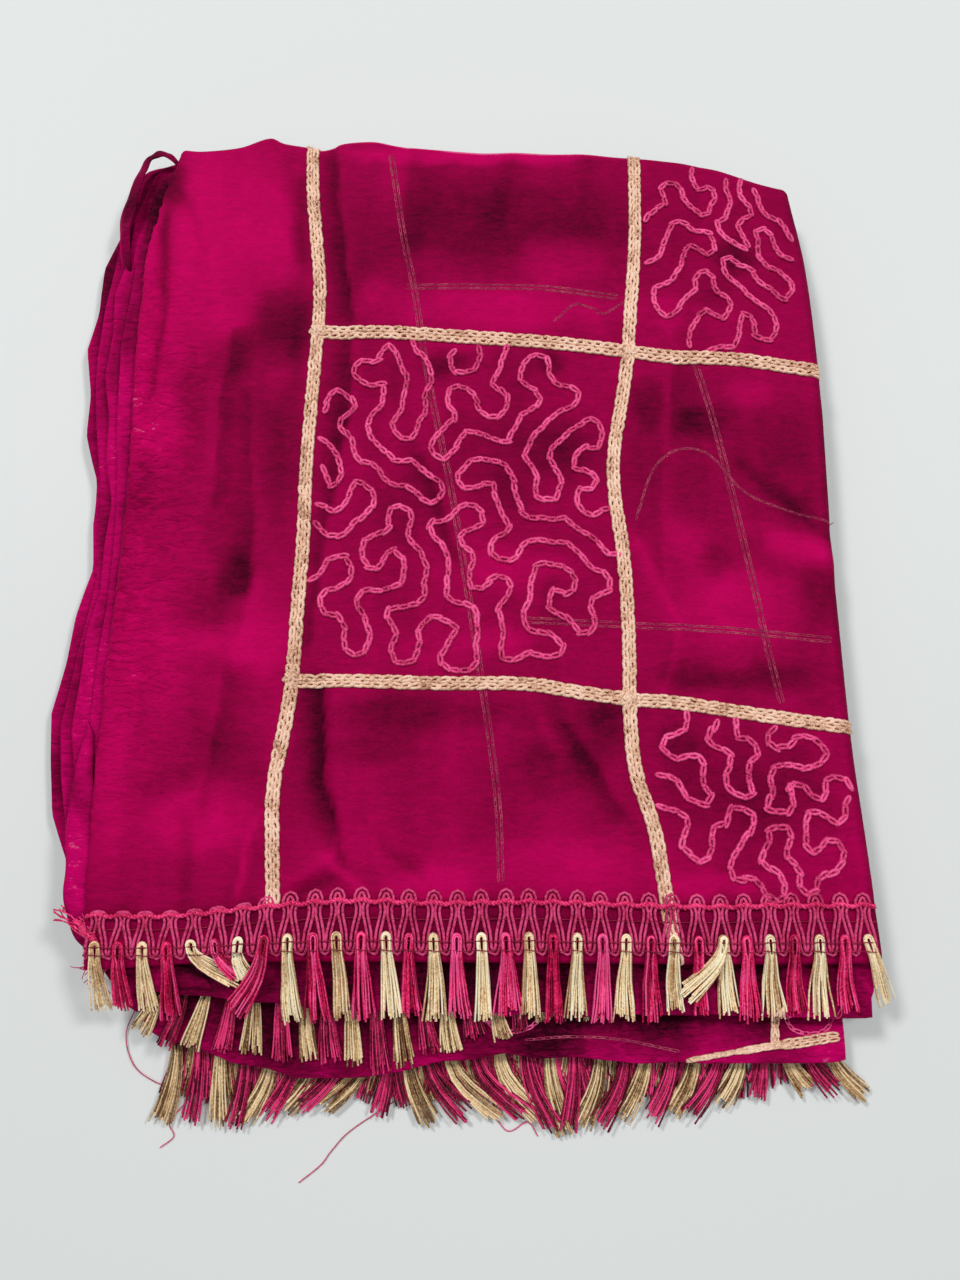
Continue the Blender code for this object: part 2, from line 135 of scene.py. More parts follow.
def smooth_through(stations, values, at):
    """The value at a place on the smooth curve through values at rising stations."""
    last = len(stations) - 1
    k = 0
    while k < last - 1 and at > stations[k + 1]:
        k += 1

    def slope(i):
        low, high = max(i - 1, 0), min(i + 1, last)
        return (values[high] - values[low]) / (stations[high] - stations[low])

    span = stations[k + 1] - stations[k]
    t = min(max((at - stations[k]) / span, 0.0), 1.0)
    start, end = slope(k) * span, slope(k + 1) * span
    return (
        values[k] * (2 * t**3 - 3 * t**2 + 1)
        + start * (t**3 - 2 * t**2 + t)
        + values[k + 1] * (3 * t**2 - 2 * t**3)
        + end * (t**3 - t**2)
    )


def evenly(low, high, count):
    return [low + (high - low) * i / (count - 1) for i in range(count)]


def finished(name, shape, material, wall=None):
    """Makes a piece of a bmesh in millimetres. It rides on the stole and takes the material given."""
    mesh = bpy.data.meshes.new(name)
    bmesh.ops.scale(shape, vec=(MM, MM, MM), verts=shape.verts)
    shape.to_mesh(mesh)
    shape.free()
    mesh.materials.append(material)
    mesh.shade_smooth()
    piece = bpy.data.objects.new(name, mesh)
    bpy.context.scene.collection.objects.link(piece)
    if wall:
        thickness = piece.modifiers.new("Wall", "SOLIDIFY")
        thickness.thickness = wall * MM
        thickness.offset = -1.0
    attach(piece, "root")
    return piece


def crepe_material(name, sheer, bright, middle, deep):
    """Crepe georgette: a sheer weave of hard-twisted threads. It gives a matt, grainy face with a
    faint sheen at grazing angles. Its tone follows the depth attribute: deeper where more layers
    lie under it and where painted shade is laid in, pale where one layer stands alone. It is
    crinkled across where it was pressed over a fold, and the crinkles are painted lighter on
    their ridges and darker in their troughs."""
    made, tree, shader = new_material(name)
    place = add_node(tree, "ShaderNodeTexCoord").outputs["Object"]
    depth = add_node(tree, "ShaderNodeAttribute", attribute_name="depth").outputs["Fac"]
    crinkled = add_node(tree, "ShaderNodeAttribute", attribute_name="crinkle").outputs["Fac"]

    # Layers under the cloth lie in patches, some soft and some with the sharper edge of a fold.
    cloud = add_node(tree, "ShaderNodeTexNoise", {"Vector": place}, Scale=1 / (40 * MM), Detail=3.0)
    drawn = add_node(tree, "ShaderNodeMapping", {"Vector": place})
    drawn.inputs["Scale"].default_value = (1.0, 0.32, 1.0)
    drawn.inputs["Rotation"].default_value = (0.0, 0.0, 0.12)
    pleat = add_node(
        tree, "ShaderNodeTexNoise", {"Vector": drawn.outputs[0]}, Scale=1 / (17 * MM), Detail=1.0
    )
    edge = add_node(tree, "ShaderNodeMapRange", {"Value": pleat.outputs["Fac"]})
    for socket, value in (("From Min", 0.46), ("From Max", 0.55), ("To Min", -0.03), ("To Max", 0.03)):
        edge.inputs[socket].default_value = value

    # Crinkles lie across the cloth, about 2 mm apart, and the weave is drawn at 0.8 mm, coarser
    # than the real 0.35 mm, so that it shows.
    across = add_node(tree, "ShaderNodeMapping", {"Vector": place})
    across.inputs["Scale"].default_value = (0.34, 1.0, 1.0)
    wrinkle = add_node(
        tree,
        "ShaderNodeTexNoise",
        {"Vector": across.outputs[0]},
        Scale=1 / (2.1 * MM),
        Detail=2.0,
        Distortion=1.1,
    )
    weave = add_node(tree, "ShaderNodeTexNoise", {"Vector": place}, Scale=1 / (0.8 * MM), Detail=1.0)

    # Painted shade and light: the crinkle's share darkens its troughs and lightens its ridges a little in the
    # colour everywhere.
    total = depth
    for source, share in ((cloud, 0.26), (wrinkle, 0.26), (weave, 0.2)):
        term = add_node(tree, "ShaderNodeMath", {0: source.outputs["Fac"]}, operation="MULTIPLY_ADD")
        term.inputs[1].default_value = share
        term.inputs[2].default_value = -share / 2
        sum_node = add_node(tree, "ShaderNodeMath", {0: total, 1: term.outputs[0]}, operation="ADD")
        total = sum_node.outputs[0]
    # Where the cloth was pressed, the crinkle is painted more strongly: a painted light ridge by a painted dark
    # trough.
    ridge = add_node(tree, "ShaderNodeMath", {0: wrinkle.outputs["Fac"]}, operation="SUBTRACT")
    ridge.inputs[1].default_value = 0.5
    painted_crinkle_shade = add_node(tree, "ShaderNodeMath", {0: ridge.outputs[0], 1: crinkled}, operation="MULTIPLY")
    crinkle_shaded_tone = add_node(
        tree, "ShaderNodeMath", {0: painted_crinkle_shade.outputs[0], 2: total}, operation="MULTIPLY_ADD"
    )
    crinkle_shaded_tone.inputs[1].default_value = 0.6
    total = add_node(
        tree, "ShaderNodeMath", {0: crinkle_shaded_tone.outputs[0], 1: edge.outputs[0]}, operation="ADD", use_clamp=True
    ).outputs[0]
    ramp = add_node(tree, "ShaderNodeValToRGB", {"Fac": total})
    ramp.color_ramp.elements[0].color = (*linear(sheer), 1.0)
    ramp.color_ramp.elements[1].color = (*linear(deep), 1.0)
    ramp.color_ramp.elements.new(0.08).color = (*linear(bright), 1.0)
    ramp.color_ramp.elements.new(0.6).color = (*linear(middle), 1.0)
    tree.links.new(ramp.outputs["Color"], shader.inputs["Base Color"])

    weave_bump = add_node(
        tree, "ShaderNodeBump", {"Height": weave.outputs["Fac"]}, Strength=0.35, Distance=0.12 * MM
    )
    strength = add_node(tree, "ShaderNodeMath", {0: crinkled}, operation="MULTIPLY_ADD")
    strength.inputs[1].default_value = 0.88
    strength.inputs[2].default_value = 0.12
    crinkle_bump = add_node(
        tree,
        "ShaderNodeBump",
        {
            "Height": wrinkle.outputs["Fac"],
            "Strength": strength.outputs[0],
            "Normal": weave_bump.outputs["Normal"],
        },
        Distance=1.5 * MM,
    )
    tree.links.new(crinkle_bump.outputs["Normal"], shader.inputs["Normal"])
    shader.inputs["Roughness"].default_value = 0.7
    shader.inputs["Specular IOR Level"].default_value = 0.03
    shader.inputs["Sheen Weight"].default_value = 0.05
    shader.inputs["Sheen Roughness"].default_value = 0.4
    shader.inputs["Sheen Tint"].default_value = (*linear("#ff2f86"), 1.0)
    return made


crepe = crepe_material("magenta crepe georgette", "#d65a86", "#c6005c", "#8c003c", "#42001a")
crepe_folds = crepe_material(
    "magenta crepe georgette, folded", "#d04a7c", "#c60062", "#80003a", "#300012"
)

FOLD_COUNTS = (
    (0.0, 3.2, 2),
    (3.2, 6.6, 2),
    (6.6, 10.4, 2),
    (10.4, 13.9, 2),
    (13.9, 17.0, 2),
    (17.0, 19.4, 2),
)
OUTLINE_STEP = 3.6
HALF_ACROSS, HALF_ALONG = 160.0, 195.0
MIDDLE_OF_BUNDLE = Vector((-10.0, -20.0))
SQUARE_FROM = 6.6
# From the underside of a fold round its nose to its upper side: how far in, how high, and how
# much deeper in tone. The tone is painted shade and light: deep on the underside, lighter on
# the nose, and deeper again further in under the fold above.
FOLD_NOSE = (
    (4.0, 0.0, 0.5),
    (1.2, 0.06, 0.4),
    (0.3, 0.26, 0.1),
    (0.0, 0.5, -0.12),
    (0.25, 0.74, -0.16),
    (1.0, 0.93, -0.1),
    (3.0, 1.0, 0.0),
    (8.0, 1.0, 0.1),
    (16.0, 1.0, 0.25),
    (26.0, 1.0, 0.4),
)
folds_tree = BVHTree.FromObject(
    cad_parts["folded_layers"], bpy.context.evaluated_depsgraph_get()
)


def fold_outline(height):
    """The edge of the bundle at a height, looked up in the frame, as (place, inward direction).
    The upper folds keep the cloth's square corner in front on the right."""
    corners = [(-1, -1), (1, -1), (1, 1), (-1, 1)]
    edge = []
    for (u0, v0), (u1, v1) in zip(corners, corners[1:] + corners[:1]):
        start = Vector((u0 * HALF_ACROSS, v0 * HALF_ALONG))
        end = Vector((u1 * HALF_ACROSS, v1 * HALF_ALONG))
        count = int((end - start).length / OUTLINE_STEP)
        for k in range(count):
            inwards = -start.lerp(end, k / count).normalized()
            outside = MIDDLE_OF_BUNDLE - inwards * 500
            origin = Vector((outside.x, outside.y, height)) * MM
            hit = folds_tree.ray_cast(origin, Vector((inwards.x, inwards.y, 0.0)))[0]
            edge.append((Vector((hit.x, hit.y)) / MM, inwards))
    if height < SQUARE_FROM:
        return edge
    right = max(place.x for place, _ in edge if -170 < place.y < -100)
    front = min(place.y for place, _ in edge if 80 < place.x < 110)
    squared = []
    for place, inwards in edge:
        if place.x > 90 and place.y < front + 45:
            across, along = (place.x - right) / inwards.x, (place.y - front) / inwards.y
            place = place - inwards * 0.92 * max(0.0, min(across, along))
        squared.append((place, inwards))
    return squared


def add_fold(shape, outline, low, high, number):
    """One doubled cloth with a round nose all round. Its edge wanders in and out by itself."""
    columns = len(outline) + 1
    fold = bmesh.new()
    bmesh.ops.create_grid(fold, x_segments=columns - 1, y_segments=len(FOLD_NOSE) - 1, size=1.0)
    depth_layer = fold.verts.layers.float.new("depth")
    crinkle_layer = fold.verts.layers.float.new("crinkle")
    tone = 0.43 + 0.11 * math.sin(number * 2.1)
    for index, vertex in enumerate(fold.verts):
        place, inwards = outline[index % columns % len(outline)]
        inset, share, deeper = FOLD_NOSE[index // columns]
        long_wave = noise.noise(Vector((place.x / 60, place.y / 60, (number + 1) // 2 * 3.7)))
        short_wave = noise.noise(Vector((place.x / 16, place.y / 16, number * 5.1)))
        stray = max(0.0, 0.5 + 2.4 * long_wave + 0.6 * short_wave + 0.8 * (number % 2))
        if place.x < -100:
            # The left folds have slipped out a little between the middle and the back.
            stray = 0.5 * stray - 1.7 * math.exp(-(((place.y - 78) / 62) ** 4))
        at = place + inwards * (inset + stray)
        ruffle = 0.2 * noise.noise(Vector((at.x / 15, at.y / 22, number * 2.3)))
        height = low + (high - low) * share + ruffle
        vertex.co = (at.x, at.y, max(height, 0.0) if share else low)
        patch = 0.5 * noise.noise(Vector((at.x / 22, at.y / 34, number * 0.9)))
        # Painted shade: a deep patch in the hollow at the back left corner, under the top cloth's open fold.
        patch += 0.5 * math.exp(-(((at.x + 146) / 9) ** 2) - ((at.y - 140) / 18) ** 2)
        if at.x < -140:
            patch -= 0.3 * math.exp(-(((at.y - 20) / 24) ** 4)) + 0.2 * math.exp(-(((at.y + 68) / 50) ** 4))
        # Painted shade: the fold's upper side is made deeper in front of the top hem, under the hem's overhang and
        # the tassels, less so on the right.
        shade_in_front = (0.26 - 0.2 * (at.x > 40)) * min(1.0, max(0.0, (-186 - at.y) / 10))
        vertex[depth_layer] = min(1.0, max(0.2, tone + deeper + patch + shade_in_front))
        vertex[crinkle_layer] = 0.7
    bmesh.ops.remove_doubles(fold, verts=fold.verts, dist=0.0001)
    bmesh.ops.holes_fill(fold, edges=fold.edges, sides=0)
    bmesh.ops.recalc_face_normals(fold, faces=fold.faces)
    mesh = bpy.data.meshes.new("one_fold")
    fold.to_mesh(mesh)
    fold.free()
    shape.from_mesh(mesh)
    bpy.data.meshes.remove(mesh)


folds = bmesh.new()
fold_number = 0
for low, high, count in FOLD_COUNTS:
    outline = fold_outline(low + 0.45 * (high - low))
    each = (high - low) / count
    for k in range(count):
        fold_number += 1
        add_fold(folds, outline, low + k * each, low + (k + 1) * each - 0.15, fold_number)
hidden_folds = finished("hidden_folds", folds, crepe_folds)
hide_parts("folded_layers")
bpy.context.view_layer.update()
hidden_tree = BVHTree.FromObject(hidden_folds, bpy.context.evaluated_depsgraph_get())


def on_folds(x, y):
    """The height of the hidden folds' upper side at a place, or of the table."""
    hit = hidden_tree.ray_cast(Vector((x * MM, y * MM, 0.08)), Vector((0, 0, -1)))[0]
    return hit.z / MM if hit else 0.0


# Top cloth
# The stretch of georgette that shows. It is cut on the thread, rolls over its left, right and
# back folds, and lies on the others with the soft creases of a cloth that was folded in a shop.
CLOTH_TOP = 21.3
CLOTH_WALL = 0.45
DOME = 1.1
HEM_Y, BACK_Y = -188.0, 165.0
HEM_DROP, HEM_REACH = 1.2, 6.0
LEFT_ROLL, RIGHT_ROLL, BACK_ROLL = 3.0, 5.0, 4.5
LEFT_DROP, RIGHT_DROP, BACK_DROP = 0.6, 2.0, 2.0
ROLL_STEPS = 7

# Each row is a line across the cloth, from the hem to the back fold, and gives where it meets the
# left fold, the left gold line, the middle gold line and the right fold.
CLOTH_LINES = (
    ((-149, -190), (-77, -187), (69, -188), (152, -188)),
    ((-151, -135), (-78, -132), (65, -137), (149, -140)),
    ((-150, -78), (-71, -79), (59, -90), (147, -98)),
    ((-148, -5), (-71, -5), (58, -13), (146, -22)),
    ((-149, 73), (-68, 74), (64, 65), (147, 52)),
    ((-147, 122), (-71, 122), (67, 117), (145, 104)),
    ((-137, 167), (-77, 168), (70, 163), (140, 147)),
)
LINE_NUMBERS = tuple(range(len(CLOTH_LINES)))
LOWER_CROSS, UPPER_CROSS, BACK_LINE = 2, 4, 6

# Creases, each from its back or left end to its other end. It lifts the cloth by height and
# changes its tone by deeper: painted shade in most troughs and painted light on most ridges,
# with the deeper tone of cloth doubled in a pleat in places. Both fade away within the spread
# on its left and on its right, seen from the front. The near-level ones have the back side
# for left and the front side for right.
CREASES = (
    # from, to, height, deeper, left, right
    ((-146, 150), (-148, 28), 0.9, -0.45, 3, 3),
    ((-141, 128), (-138, 88), -1.1, 0.5, 1.6, 2.2),
    ((-138, 88), (-141, 50), -1.0, 0.45, 1.6, 2.0),
    ((-141, 50), (-145, 30), -0.6, 0.25, 1.5, 2.0),
    ((-132, 138), (-122, 112), -0.8, 0.25, 1.5, 6),
    ((-92, 140), (-86, 116), 0.9, -0.2, 3, 4),
    ((-80, 148), (-77, 110), -0.7, 0.35, 5, 2),
    ((-106, 72), (-109, 41), 1.1, 0.30, 1.4, 9),
    ((-109, 41), (-109, -2), 1.2, 0.32, 1.4, 9),
    ((-98, 44), (-94, -42), -0.9, 0.30, 9, 1.3),
    ((-93, -42), (-98, -74), 1.0, -0.25, 1.4, 9),
    ((-101, -79), (-104, -109), -0.8, 0.28, 1.3, 8),
    ((-104, -109), (-108, -132), -0.6, 0.24, 1.3, 6),
    ((-87, -140), (-92, -161), 0.8, -0.35, 1.2, 1.6),
    ((-113, -137), (-111, -164), -0.6, 0.25, 3, 3),
    ((-132, 20), (-128, -120), 0.8, -0.12, 6, 16),
    ((-124, 160), (-118, 60), 0.8, -0.1, 12, 12),
    ((-66, 160), (-62, 123), -1.2, 0.40, 7, 1.2),
    ((-62, 123), (-56, 79), -1.3, 0.45, 8, 1.2),
    ((-56, 72), (-57, 32), -1.2, 0.42, 8, 1.2),
    ((-57, 32), (-61, 1), -1.2, 0.42, 7, 1.2),
    ((-61, 1), (-66, -30), -1.0, 0.40, 5, 1.4),
    ((-66, -30), (-69, -66), -0.9, 0.35, 3, 1.4),
    ((-63, -84), (-61, -120), -2.0, 0.60, 8, 1.2),
    ((-61, -120), (-55, -140), -1.8, 0.50, 7, 1.2),
    ((-55, -140), (-52, -149), -1.2, 0.40, 3, 1.2),
    ((-58, -84), (-54, -132), 1.0, -0.12, 1.5, 14),
    ((-71, -158), (-58, -150), 1.5, -0.20, 4, 3),
    ((-70, -162), (-58, -157), -0.8, 0.30, 2, 3),
    ((-58, -150), (-42, -165), 1.4, -0.30, 4, 2),
    ((-36, -144), (-24, -155), -0.8, 0.28, 1.3, 3),
    ((-30, 168), (-33, 118), 0.7, 0.18, 2, 20),
    ((-25, 13), (-8, -33), -1.0, 0.32, 5, 1.3),
    ((-30, 56), (-22, 14), 0.7, -0.10, 4, 8),
    ((14, 60), (30, -50), 0.9, 0.05, 12, 18),
    ((22, -92), (30, -108), 0.8, -0.20, 2, 4),
    ((36, -100), (54, -132), -1.2, 0.34, 6, 1.4),
    ((-6, -100), (-16, -158), 0.8, -0.10, 8, 14),
    ((24, -118), (34, -158), 0.8, -0.10, 9, 12),
    ((63, -22), (81, -57), 1.4, -0.30, 4, 2),
    ((81, -57), (73, -84), 1.0, -0.20, 1.3, 3),
    ((79, 44), (74, -50), 0.7, -0.16, 1.2, 5),
    ((84, 56), (82, 26), -0.9, 0.26, 1.4, 8),
    ((110, 10), (144, -20), -0.8, 0.25, 4, 3),
    ((112, -14), (146, -34), 1.0, -0.20, 4, 5),
    ((84, 150), (116, 76), 0.9, 0.0, 16, 16),
    ((128, 40), (108, -50), 1.0, 0.0, 12, 18),
    ((96, -100), (136, -150), 1.0, -0.05, 16, 12),
    ((136, -104), (148, -160), 0.8, -0.15, 6, 6),
    ((-44, 170), (-40, 126), 0.9, -0.1, 8, 12),
    ((18, 168), (6, 130), 0.9, 0.1, 10, 9),
    ((46, 166), (54, 116), 0.9, 0.1, 8, 10),
    ((110, 158), (100, 120), 0.8, 0.0, 10, 10),
)
# How far the back fold stands out at places along it.
BACK_EDGE_PLACES = (-146, -139, -127, -110, -96, -90, -79, -72, -62, -50, -38, -18, 18, 80, 140)
BACK_EDGE_STANDS = (0.0, 1.0, -2.0, 1.0, 8.0, 4.0, 1.0, -1.0, 4.5, 6.5, 3.0, 0.0, -1.5, 0.0, 0.0)
# Patches of deeper or paler tone: partly where more layers lie under the cloth, or fewer,
# and partly painted shade and painted light of the cloth's soft folds, such as the painted
# shade just below the lower crossing gold line.
TONES = (
    # middle, half sizes across and along, deeper
    ((-112, 120), (32, 54), -0.48),
    ((-85, 76), (15, 19), 0.52),
    ((-107, 62), (10, 11), 0.25),
    ((-135, 28), (11, 14), -0.28),
    ((-138, 146), (6, 12), 0.6),
    ((-84, 26), (11, 38), 0.26),
    ((-112, -50), (10, 12), 0.22),
    ((-100, -36), (8, 13), 0.35),
    ((-84, -66), (10, 15), -0.30),
    ((-124, -44), (15, 22), -0.12),
    ((-104, -132), (22, 13), -0.30),
    ((-79, -100), (6, 16), -0.20),
    ((-121, -120), (11, 6), 0.20),
    ((-120, -110), (22, 46), -0.10),
    ((0, -174), (170, 9), 0.34),
    ((14, 126), (48, 25), 0.36),
    ((-48, 122), (13, 26), 0.18),
    ((-4, 162), (58, 5), -0.50),
    ((8, 84), (52, 11), -0.36),
    ((-14, 66), (14, 7), -0.25),
    ((100, 118), (42, 36), 0.05),
    ((104, 18), (42, 32), 0.16),
    ((104, 92), (10, 10), 0.20),
    ((108, -50), (16, 17), -0.30),
    ((104, -124), (40, 28), 0.12),
    ((72, 38), (8, 12), 0.32),
    ((94, 31), (9, 8), 0.32),
    ((130, 2), (12, 13), 0.20),
    ((133, -25), (15, 7), -0.42),
    ((98, -33), (7, 8), 0.24),
    ((85, -22), (8, 10), -0.30),
    ((84, -78), (14, 6), 0.34),
    ((36, 18), (17, 14), 0.26),
    ((8, -2), (13, 10), 0.22),
    ((-34, -8), (14, 18), 0.18),
    ((-40, 48), (10, 12), 0.12),
    ((-20, -68), (34, 8), -0.12),
    ((-30, -94), (27, 9), 0.34),
    ((-44, -108), (18, 6), 0.20),
    ((50, -98), (8, 14), 0.36),
    ((28, -116), (18, 12), 0.22),
    ((30, -152), (42, 11), -0.30),
    ((-138, 60), (11, 40), -0.34),
    ((-150, 24), (9, 20), -0.36),
    ((-101, 9), (15, 20), -0.22),
    ((-86, 52), (6, 16), -0.25),
    ((-106, 99), (10, 16), 0.22),
    ((35, 108), (20, 12), -0.34),
    ((113, 109), (11, 9), 0.45),
    ((-15, 59), (11, 7), 0.40),
    ((30, 58), (7, 5), 0.40),
    ((4, 18), (42, 15), 0.18),
    ((12, -34), (28, 8), -0.28),
    ((32, -93), (30, 6), 0.18),
    ((114, -79), (20, 6), 0.35),
    ((92, 12), (14, 20), -0.08),
    ((130, 3), (9, 9), -0.28),
    ((114, 44), (11, 7), -0.28),
    ((83, 83), (6, 11), -0.22),
    ((-47, 94), (7, 7), -0.28),
    ((97, -49), (25, 17), -0.22),
    ((138, -43), (7, 12), 0.30),
    ((105, -125), (36, 17), 0.16),
    ((79, -106), (11, 7), 0.22),
    ((-103, -64), (24, 7), -0.28),
    ((-144, -80), (10, 70), -0.30),
    ((-114, -106), (15, 16), 0.18),
    ((-115, -141), (31, 11), -0.20),
    ((-50, -144), (23, 9), -0.20),
    ((-19, -158), (19, 6), -0.32),
    ((8, -64), (13, 7), -0.25),
    ((89, -159), (22, 5), -0.32),
)
BASE_TONE = 0.42


def crease_share(crease, x, y):
    """How much of one soft fold reaches a place, from 0 to 1."""
    (x0, y0), (x1, y1) = crease[:2]
    length = math.hypot(x1 - x0, y1 - y0)
    along = ((x - x0) * (x1 - x0) + (y - y0) * (y1 - y0)) / length
    aside = ((y - y0) * (x1 - x0) - (x - x0) * (y1 - y0)) / length
    if y1 - y0 < -abs(x1 - x0) * 0.9:
        spread = crease[5] if aside > 0 else crease[4]
    else:
        spread = crease[4] if aside > 0 else crease[5]
    past_end = max(-along, along - length, 0.0)
    if abs(aside) > 3 * spread or past_end > 16:
        return 0.0
    return math.exp(-((aside / spread) ** 2) - (past_end / 5) ** 2)


def tone_at(x, y):
    """How deep the cloth's colour is at a place, from 0, one bright layer, to 1. It holds the
    painted shade and light of the tone patches and the creases as well as the layers below.
    """
    tone = BASE_TONE
    x += 1.8 * noise.noise(Vector((x / 11, y / 15, 3.3)))
    y += 3.0 * noise.noise(Vector((x / 13, y / 17, 8.8)))
    for (middle_x, middle_y), (half_x, half_y), deeper in TONES:
        reach = (((x - middle_x) / half_x) ** 2 + ((y - middle_y) / half_y) ** 2) ** 1.8
        if reach < 6:
            tone += deeper * math.exp(-reach)
    pleats = [crease[3] * crease_share(crease, x, y) for crease in CREASES]
    return min(1.0, max(0.0, tone + max(pleats) + min(pleats)))


def cloth_height(x, y):
    """The upper side of the top cloth over the table, without its rolled edges."""
    middle, half_length = (HEM_Y + BACK_Y) / 2, (BACK_Y - HEM_Y) / 2
    off_x, off_y = min(1.0, abs(x) / 150), min(1.0, abs(y - middle) / half_length)
    dome = DOME * (1 - off_x**2) * (1 - off_y**2)
    lifts = [crease[2] * crease_share(crease, x, y) for crease in CREASES]
    lift = max(lifts) + min(lifts)
    from_hem = max(0.0, y - HEM_Y)
    hem = HEM_DROP * max(0.0, 1 - from_hem / HEM_REACH) ** 2
    ripple = 0.5 * noise.noise(Vector((x / 26, y / 34, 1.5)))
    near_left = math.exp(-(((x + 146) / 14) ** 2))
    ripple += (0.12 + 0.22 * near_left) * noise.noise(Vector((x / 12, y / 3.6, 7.1)))
    return CLOTH_TOP + dome + (lift + ripple) * min(1.0, from_hem / 30) - hem


# The gold lines stray from the straight: first the two along the cloth, then the crossing ones.
# Each has its stations, and how far it strays there.
LEFT_STRAYS = (
    (0.0, 0.8, 1.1, 1.4, 2.3, 2.8, 3.3, 3.8, 4.3, 5.3, 6.0),
    (0.0, -1.1, -2.5, -3.4, -3.3, -1.5, -2.3, -2.5, -1.6, -1.7, 1.0),
)
MIDDLE_STRAYS = (
    (0.0, 0.5, 0.95, 1.4, 1.8, 2.4, 2.8, 3.3, 3.8, 4.3, 5.0, 6.0),
    (4.5, 3.0, 1.9, -1.5, -0.8, 1.7, 0.9, -3.7, -1.0, 0.2, 1.5, -0.2),
)
LOWER_STRAYS = ((1.0, 1.25, 1.45, 1.68, 1.85, 2.0, 2.2, 2.45, 3.0), (-1.8, 0.2, 1.7, 4.3, 2.8, 1.9, 2.2, 1.0, -0.8))
UPPER_STRAYS = ((1.0, 1.3, 1.8, 2.0, 2.17, 2.38, 2.6, 3.0), (-1.4, -0.3, -0.8, -1.6, -2.0, 0.0, 2.0, 3.2))


def cloth_place(s, t):
    """Where the cloth's line s across and t along lies: s is 0 at the left fold, 1 and 2 at the
    gold lines and 3 at the right fold, and t counts the lines from the hem."""
    across = []
    for k in range(4):
        xs = [line[k][0] for line in CLOTH_LINES]
        ys = [line[k][1] for line in CLOTH_LINES]
        across.append([smooth_through(LINE_NUMBERS, xs, t), smooth_through(LINE_NUMBERS, ys, t)])
    across[1][0] += smooth_through(*LEFT_STRAYS, t)
    across[2][0] += smooth_through(*MIDDLE_STRAYS, t)
    across[0][0] += LEFT_ROLL
    across[3][0] -= RIGHT_ROLL
    back_share = max(0.0, t - BACK_LINE + 1)
    x = smooth_through((0, 1, 2, 3), [place[0] for place in across], s)
    y = smooth_through((0, 1, 2, 3), [place[1] for place in across], s)
    if s > 1:
        y += smooth_through(*LOWER_STRAYS, s) * math.exp(-(((t - LOWER_CROSS) / 0.45) ** 2))
        y += smooth_through(*UPPER_STRAYS, s) * math.exp(-(((t - UPPER_CROSS) / 0.45) ** 2))
    return x, y - BACK_ROLL * back_share


def rolled(radius, drop, step):
    """How far out and down a rolled edge is at a step round it, and then straight down."""
    angle = math.pi / 2 * min(step, ROLL_STEPS - 1) / (ROLL_STEPS - 1)
    below = drop if step == ROLL_STEPS else 0.0
    return radius * math.sin(angle), radius * (1 - math.cos(angle)) + below


def cloth_point(s, t, side_step=0, back_step=0):
    """A point of the top cloth's upper side, rolled on past its side fold and its back fold."""
    x, y = cloth_place(s, t)
    step = max(side_step, back_step)
    turn = math.atan2(back_step, side_step) if step else 0.0
    outwards, radius, drop = (-1, LEFT_ROLL, LEFT_DROP) if s < 1.5 else (1, RIGHT_ROLL, RIGHT_DROP)
    if s < 0.12:
        pucker = noise.noise(Vector((y / 3.1, 2.0, 5.0))) + 1.6 * noise.noise(Vector((y / 17, 9.0, 5.0)))
        x += 0.7 * pucker * (1 - s / 0.12)
    side_out, side_down = rolled(radius, drop, step)
    back_out, back_down = rolled(BACK_ROLL, BACK_DROP, step)
    down = side_down * math.cos(turn) ** 2 + back_down * math.sin(turn) ** 2
    stands = smooth_through(BACK_EDGE_PLACES, BACK_EDGE_STANDS, x) * min(1.0, max(0.0, (y - 152) / 14)) ** 2
    return (
        x + outwards * side_out * math.cos(turn),
        y + stands + back_out * math.sin(turn),
        cloth_height(x, y) - down,
    )


roll_range = range(1, ROLL_STEPS + 1)
flat_columns = evenly(0, 1, 46)[:-1] + evenly(1, 2, 82)[:-1] + evenly(2, 3, 48)
columns = [(0.0, k) for k in reversed(roll_range)] + [(s, 0) for s in flat_columns]
columns += [(3.0, k) for k in roll_range]
rows = [(t, 0) for t in evenly(0, BACK_LINE, 204)] + [(BACK_LINE, k) for k in roll_range]
cloth = bmesh.new()
bmesh.ops.create_grid(cloth, x_segments=len(columns) - 1, y_segments=len(rows) - 1, size=1.0)
cloth.verts.ensure_lookup_table()
cloth_depth = cloth.verts.layers.float.new("depth")
cloth_crinkle = cloth.verts.layers.float.new("crinkle")
for index, vertex in enumerate(cloth.verts):
    (s, side_step), (t, back_step) = columns[index % len(columns)], rows[index // len(columns)]
    vertex.co = cloth_point(s, t, side_step, back_step)
    rim = min(1.0, max(0.0, (back_step - 1) / 2)) * math.exp(-(((vertex.co.x + 6) / 75) ** 4))
    vertex[cloth_depth] = 0.24 + 0.76 * tone_at(vertex.co.x, vertex.co.y) - 0.62 * rim
    near_left = math.exp(-(((vertex.co.x + 144) / 24) ** 2))
    pressed = math.exp(-(((vertex.co.y + 10) / 110) ** 4))
    # Painted shade: the right rolled edge is made deeper in tone as it turns down its side.
    vertex[cloth_depth] += 0.16 * (s > 1.5) * min(1.0, side_step / 3)
    vertex[cloth_crinkle] = 0.12 + 0.88 * near_left * pressed
cloth_tree = BVHTree.FromBMesh(cloth)
top_cloth = finished("top_cloth", cloth, crepe, wall=CLOTH_WALL)
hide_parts("top_layer")


def on_cloth(x, y, fallback=CLOTH_TOP):
    """The height of the top cloth's upper side at a place."""
    place = cloth_tree.ray_cast(Vector((x, y, 80.0)), Vector((0, 0, -1)))[0]
    return place.z if place else fallback


